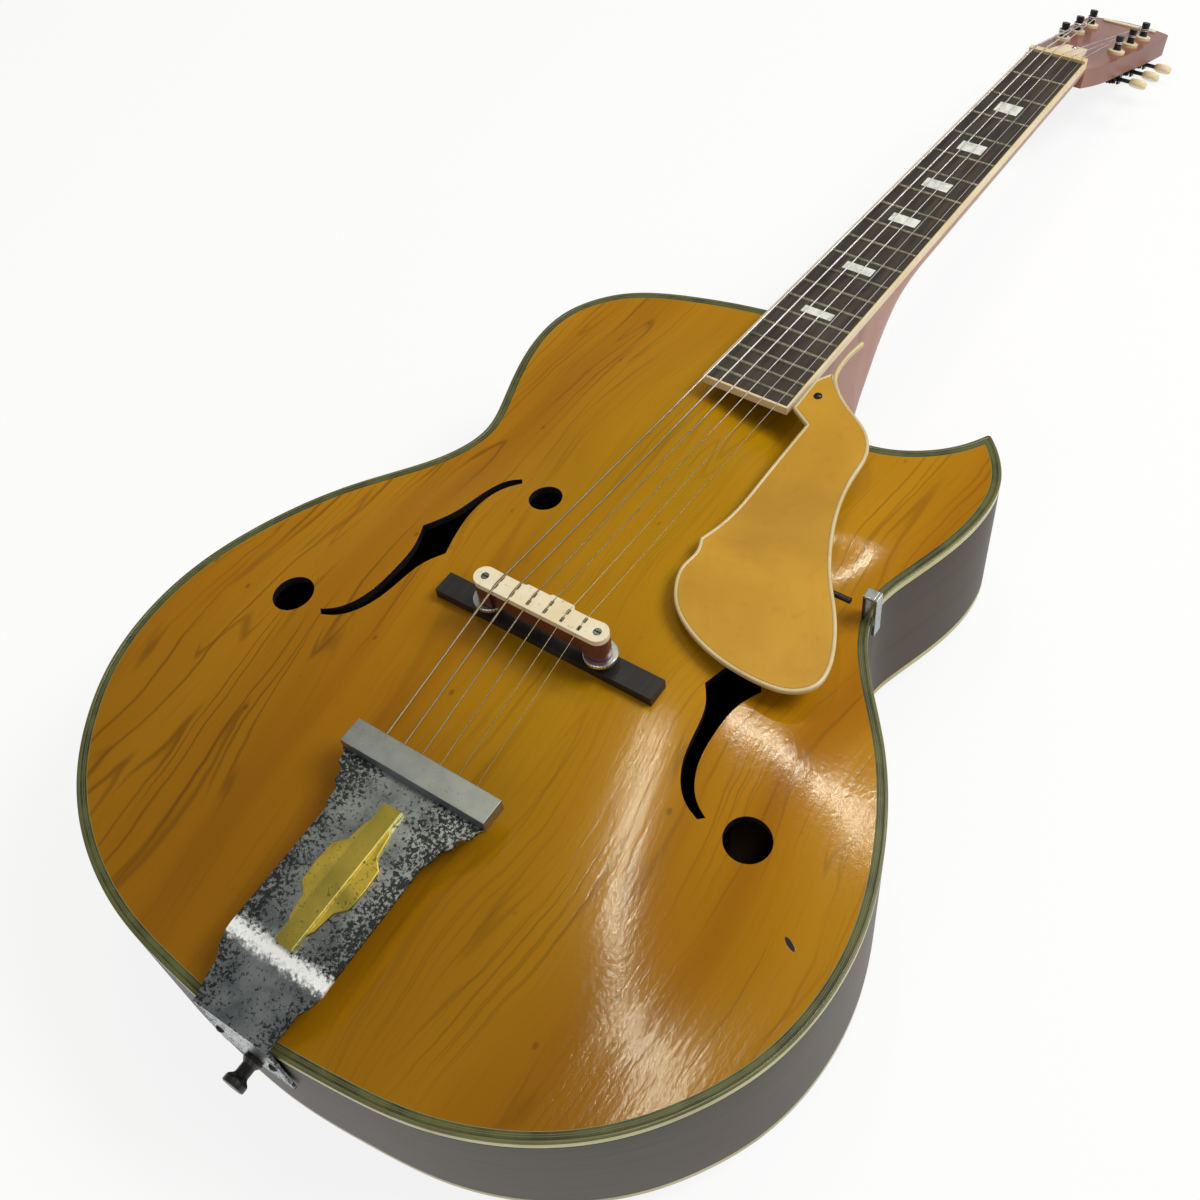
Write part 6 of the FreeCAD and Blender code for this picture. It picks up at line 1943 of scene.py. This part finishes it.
    def build_cap(self) -> None:
        """The bridge's cap with rounded ends, a stepped edge towards the neck and holes for the studs."""
        low, high = self.maker.place.box("bridge_cap")
        middle, radius = (low[1] + high[1]) / 2, (high[1] - low[1]) / 2
        angles = np.linspace(-math.pi / 2, math.pi / 2, 17)
        end = [(high[0] - radius + radius * math.cos(a), middle + radius * math.sin(a)) for a in angles]
        steps = [(x, middle + radius + rise) for x, rise in self.CAP_STEPS]
        outline = np.array(end + steps + [(-x, y) for x, y in reversed(end)])
        near, far = self.maker.place.box("bridge_posts")
        stud = (far[1] - near[1]) / 2
        holes = [circle(side * (far[0] - stud), middle, stud + self.stud_gap) for side in (-1, 1)]
        cap = self.maker.prism("bridge_crest", outline, low[2], high[2], 0.35, holes)
        self.maker.dressed(cap, self.palette.cap, "binding", ["bridge_cap"], SADDLE)

    def build_wheels(self) -> None:
        """The knurled thumbwheels on the bridge's studs."""
        tree = wheel_tree()
        for name in ("bass", "treble"):
            node = "thumbwheel_" + name
            low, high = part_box(node)
            middle = ((low.x + high.x) / 2, (low.y + high.y) / 2, low.z)
            piece = self.maker.mesh_object("wheel_" + name, [middle], [])
            tree.grow(piece, self.palette.bright, Radius=self.wheel_radius * MM, Knurl=self.knurl * MM,
                      Thick=high.z - low.z, Teeth=self.knurls)
            ease(piece, 0.25, 1, 60.0)
            self.maker.dressed(piece, self.palette.bright, "fret_metal", [node], "wheel_" + name)

    def build_screws(self) -> None:
        """All the small slotted screws, one piece for each CAD node."""
        tree = screw_tree()
        sets = {"truss_cover_screws": self.palette.bright, "pickguard_screws": self.palette.gun,
                "tailpiece_screws": self.palette.gun, "tuner_screws": self.palette.gun}
        for node, material in sets.items():
            spots, turns = [], []
            for index, (middle, axis) in enumerate(screw_heads(node)):
                tilt = Vector((0, 0, 1)).rotation_difference(axis)
                spin = Matrix.Rotation(math.radians(35 + 50 * index), 3, "Z").to_quaternion()
                spots.append(tuple(middle))
                turns.append(tuple((tilt @ spin).to_euler()))
            piece = self.maker.mesh_object(node.replace("screws", "heads"), spots, [])
            set_attribute(piece.data, "turn", "FLOAT_VECTOR", turns)
            tree.grow(piece, material, Radius=self.head_radius * MM, Rise=self.head_rise * MM,
                      Slot=self.head_slot * MM)
            self.maker.dressed(piece, material, "fret_metal", [node])

    def build(self) -> None:
        """Makes the fittings."""
        made, finish = self.maker, self.palette
        made.redressed("bridge_base", finish.foot, "dark_wood", 0.5)
        made.redressed("bridge_posts", finish.chrome, "fret_metal")
        made.redressed("bridge_saddle", finish.saddle, "neck_wood", 0.6, SADDLE)
        self.build_cap()
        made.redressed("tailpiece_plate", finish.plating, "chrome", 0.4)
        made.redressed("tailpiece_string_bar", finish.bar, "chrome", 0.6)
        made.redressed("tailpiece_ornament", finish.brass, "gold", 0.35, angle=14.0)
        made.redressed("strap_button", finish.black, "black_plastic", 0.8)
        self.build_clip()
        self.build_guard()
        self.build_wheels()
        self.build_screws()


def screw_heads(node: str) -> list[tuple[Vector, Vector]]:
    """Seats and directions of the screws in a CAD node.

    Args:
        node: A node that holds only screws.

    Returns:
        For each screw, the middle of its head's seat and the way the head points.
    """
    form = bmesh.new()
    form.from_mesh(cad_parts[node].data)
    bmesh.ops.remove_doubles(form, verts=form.verts, dist=WELD)
    found, left = [], set(form.verts)
    while left:
        stack, island = [left.pop()], []
        while stack:
            vert = stack.pop()
            island.append(vert.co.copy())
            for edge in vert.link_edges:
                other = edge.other_vert(vert)
                if other in left:
                    left.remove(other)
                    stack.append(other)
        points = np.array(island)
        middle = points.mean(0)
        axis = np.linalg.svd(points - middle)[2][0]
        travel = (points - middle) @ axis
        spread = np.linalg.norm(points - middle - np.outer(travel, axis), axis=1)
        head = travel[spread > SHANK]
        axis, head = (axis, head) if head.mean() > 0 else (-axis, -head)
        found.append((Vector(middle + axis * head.min()), Vector(axis)))
    form.free()
    found.sort(key=lambda item: (round(item[0].y, 4), round(item[0].x, 4)))
    return found


# tuners


@dataclass
class Tuners:
    """Posts, bushings, plates and keys on the head."""

    maker: Maker
    palette: Palette
    count: int = 6
    button: float = 13.52

    def build(self) -> None:
        """Makes the tuners' pieces; a key is its dark shaft and its cream button."""
        made, finish = self.maker, self.palette
        made.redressed("tuner_plates", finish.gun, "dark_metal", 0.2)
        made.redressed("tuner_bushings", finish.cream, "binding")
        for number in range(1, self.count + 1):
            made.redressed("tuner_post_%d" % number, finish.gun, "dark_metal", body="post_%d" % number)
            self.build_key(number)

    def build_key(self, number: int) -> None:
        """One key in two finishes.

        Args:
            number: The key's number.
        """
        node = "tuner_key_%d" % number
        piece = self.maker.redressed(node, self.palette.gun, "key_cream", body="key_%d" % number)
        piece.data.materials.append(self.palette.cream)
        low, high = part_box(node)
        outer = high.x if high.x > -low.x else low.x
        for face in piece.data.polygons:
            if abs(outer - face.center.x) < self.button * MM:
                face.material_index = 1


# strings


@dataclass
class Strings:
    """Six strings from the tailpiece over bridge and nut to their posts. Lengths in millimetres."""

    maker: Maker
    palette: Palette
    neck: Neck
    diameters: tuple[float, ...] = (1.3, 1.07, 0.82, 0.62, 0.45, 0.36)
    wound: int = 4
    nut_spread: float = 36.0
    bridge_spread: float = 50.0
    tail_spread: float = 54.0
    compensation: float = 3.1
    tail_y: float = 135.0
    tail_z: float = 24.6
    crest: float = 43.0
    lift: float = 0.2
    step: float = 1.6
    nut_rise: float = 1.6
    post_radius: float = 2.6
    clearance: float = 0.25
    first_post: float = 72.0
    spacing: float = 34.5
    row_half: float = 21.5
    wrap_top: float = 9.0
    wrap_gap: float = 0.5
    turns: int = 2
    turn_steps: int = 24
    long_steps: int = 40
    tail_steps: int = 12

    def spread(self, index: int, width: float) -> float:
        """Side place of a string, index 0 being the thickest."""
        return width * (index / (len(self.diameters) - 1) - 0.5)

    def bridge_y(self) -> float:
        """Place of the bridge along the guitar."""
        reach = self.neck.nut_y - self.neck.scale - self.compensation
        return self.neck.joint_y + reach * math.cos(math.radians(self.neck.angle))

    def ends(self, index: int) -> tuple[Points, Points, Points]:
        """A string's places at the tailpiece, the bridge and the nut.

        Args:
            index: The string, 0 being the thickest.

        Returns:
            The three places.
        """
        radius = self.diameters[index] / 2
        tail = np.array([self.spread(index, self.tail_spread), self.tail_y, self.tail_z])
        bridge_y = self.bridge_y() + self.step * ((index % 3) - 1) / 2
        crest = np.array([self.spread(index, self.bridge_spread), bridge_y, self.crest + self.lift + radius])
        nut_y = self.neck.nut_y + self.neck.nut
        nut = self.neck.on_neck([(self.spread(index, self.nut_spread), nut_y, self.nut_rise + radius)])[0]
        return tail, crest, nut

    def wrap(self, index: int, nut: Points) -> Points:
        """The string's turns on its post.

        Args:
            index: The string, 0 being the thickest.
            nut: Where it leaves the nut.

        Returns:
            Points of its centre line from the post's side down its turns.
        """
        side = -1 if index < 3 else 1
        row = index if index < 3 else 5 - index
        diameter = self.diameters[index]
        radius = self.post_radius + self.clearance + diameter / 2
        centre = np.array([side * self.row_half, self.first_post + self.spacing * row])
        start = np.array(self.neck.head_frame.inverted() @ Vector(nut))
        out = centre - start[:2]
        heading = math.atan2(out[1], out[0]) + side * math.asin(radius / np.linalg.norm(out))
        first = heading + side * math.pi / 2
        drop = diameter + self.wrap_gap
        spots = []
        for step in range(self.turns * self.turn_steps + 1):
            turn = step / self.turn_steps
            angle = first - side * math.tau * turn
            spots.append((centre[0] + radius * math.cos(angle), centre[1] + radius * math.sin(angle),
                          self.wrap_top - diameter / 2 - drop * turn))
        return self.neck.on_head(spots)

    def build(self) -> None:
        """Makes each string in two stretches, from the tailpiece to the bridge and from the bridge to the nut
        and round its post.
        """
        tree = wire_tree()
        for index in range(len(self.diameters)):
            number = len(self.diameters) - index
            tail, crest, nut = self.ends(index)
            after = np.vstack([np.linspace(crest, nut, self.long_steps), self.wrap(index, nut)])
            before = np.linspace(tail, crest, self.tail_steps)
            material = self.palette.wound if index < self.wound else self.palette.plain
            for name, points, start in (("tail", before, tail), ("long", after, nut)):
                piece = self.maker.path("string_%d_%s" % (number, name), points)
                tree.grow(piece, material, Radius=self.diameters[index] / 2 * MM, Sides=10)
                self.maker.dressed(piece, material, "string_steel", ["string_%d" % number], "")
                ends = self.maker.place([start, crest])
                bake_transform(piece)


# studio


@dataclass
class Studio:
    """Pale floor, soft lights and the camera."""

    place: Place
    eye: Triple = (298.386, -62.036, 571.845)
    forward: Triple = (-0.39767233, 0.4700035, -0.78800599)
    right: Triple = (0.82634461, 0.55671816, -0.08496751)
    lens: float = 41.935
    sensor: float = 36.0
    shift: Pair = (-0.01789, -0.00393)
    floor_half: float = 8.0
    sky: Pair = (0.3, 1.0)
    target: Triple = (0.0, -0.25, 0.1)
    warm: Colour = (1.0, 0.94, 0.74)
    narrow: float = 0.1

    LAMPS = (("key", (1.5, 0.9, 2.2), (-0.5, 0.9), (1.3, 1.1), 57.0),
             ("fill", (0.2, -1.9, 1.2), (1.0, 0.0), (1.0, 1.0), 6.0),
             ("tube", (-0.34, 0.18, 2.0), (0.23, -0.56), (0.6, 0.03), 4.6),
             ("slat", (0.05, 0.80, 2.0), (0.40, 0.24), (0.48, 0.035), 5.4))

    def build_camera(self) -> None:
        """The camera at the photograph's viewing angle."""
        data = bpy.data.cameras.new("camera")
        data.lens, data.sensor_width = self.lens, self.sensor
        data.sensor_fit = "HORIZONTAL"
        data.shift_x, data.shift_y = self.shift
        data.clip_start, data.clip_end = 0.02, 50.0
        camera = linked("camera", data)
        right = Vector(self.right).normalized()
        back = -Vector(self.forward).normalized()
        up = back.cross(right).normalized()
        turn = Matrix((right, up, back)).transposed().to_4x4()
        camera.matrix_world = Matrix.Translation(Vector(self.place(self.eye)[0])) @ turn
        bpy.context.scene.camera = camera

    def build_floor(self) -> None:
        """A wide pale floor that looks white to the camera and keeps a soft shadow."""
        p = Paint("pale_floor")
        mottle = p.haze((2.0, 2.0, 2.0), 2.0)
        base = p.mix(mottle, (0.86, 0.86, 0.86), (0.9, 0.9, 0.9))
        matte = p.node("ShaderNodeBsdfPrincipled", None, {"Base Color": base, "Roughness": 0.8})
        glow = p.node("ShaderNodeEmission", None, {"Color": (1.0, 1.0, 1.0, 1.0), "Strength": 1.0})
        seen = p.node("ShaderNodeLightPath", None, None, "Is Camera Ray")
        share = p.node("ShaderNodeLightPath", None, None, "Is Glossy Ray") + seen
        share = share + p.node("ShaderNodeLightPath", None, None, "Is Transmission Ray")
        floor = p.shown(p.node("ShaderNodeMixShader", None, {0: share * 0.85, 1: matte, 2: glow}))
        size = self.floor_half
        mesh = bpy.data.meshes.new("floor")
        corners = [(-size, -size, 0), (size, -size, 0), (size, size, 0), (-size, size, 0)]
        mesh.from_pydata(corners, [], [(0, 1, 2, 3)])
        mesh.materials.append(floor)
        ground = linked("floor", mesh)

    def build_light(self) -> None:
        """An even white world and soft lamps."""
        world = bpy.data.worlds.new("studio")
        world.use_nodes = True
        nodes = Nodes(world.node_tree)
        seen = nodes.add("ShaderNodeLightPath", None, None, "Is Camera Ray")
        strength = nodes.add("ShaderNodeMapRange", None,
                             {"Value": seen, "To Min": self.sky[0], "To Max": self.sky[1]})
        sky = nodes.add("ShaderNodeBackground", None, {"Strength": strength})
        nodes.add("ShaderNodeOutputWorld", None, {0: sky})
        bpy.context.scene.world = world
        for lamp in self.LAMPS:
            self.lamp(*lamp)

    def lamp(self, name: str, spot: Triple, along: Pair,
             size: Pair, power: float) -> None:
        """One soft lamp that looks at the guitar's body.

        Args:
            name: The lamp's name.
            spot: Its place, in metres.
            along: The level direction of its length.
            size: Its length and width.
            power: Its power in watts.
        """
        data = bpy.data.lights.new(name, "AREA")
        data.shape = "RECTANGLE"
        data.size, data.size_y = size
        data.energy = power
        data.color = self.warm if min(size) < self.narrow else (1.0, 1.0, 1.0)
        back = (Vector(spot) - Vector(self.target)).normalized()
        side = (Vector((*along, 0.0)) - back * Vector((*along, 0.0)).dot(back)).normalized()
        turn = Matrix((side, back.cross(side), back)).transposed().to_4x4()
        linked(name, data).matrix_world = Matrix.Translation(spot) @ turn

    def build(self) -> None:
        """Sets up the studio."""
        self.build_camera()
        self.build_floor()
        self.build_light()
        bpy.context.scene.view_settings.view_transform = "Standard"


def main() -> None:
    """Builds the guitar and its studio in order."""
    logging.basicConfig(level=logging.INFO, format="%(name)s %(message)s")
    place = Place()
    maker = Maker(place)
    low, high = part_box("bridge_cap")
    palette = Palette(float(place.shift[1]), (low.y + high.y) / 2)
    Studio(place).build()
    neck = Neck(maker, palette)
    SoundBox(maker, palette).build()
    neck.build()
    Fittings(maker, palette).build()
    Tuners(maker, palette).build()
    Strings(maker, palette, neck).build()


if __name__ == "__main__":
    main()
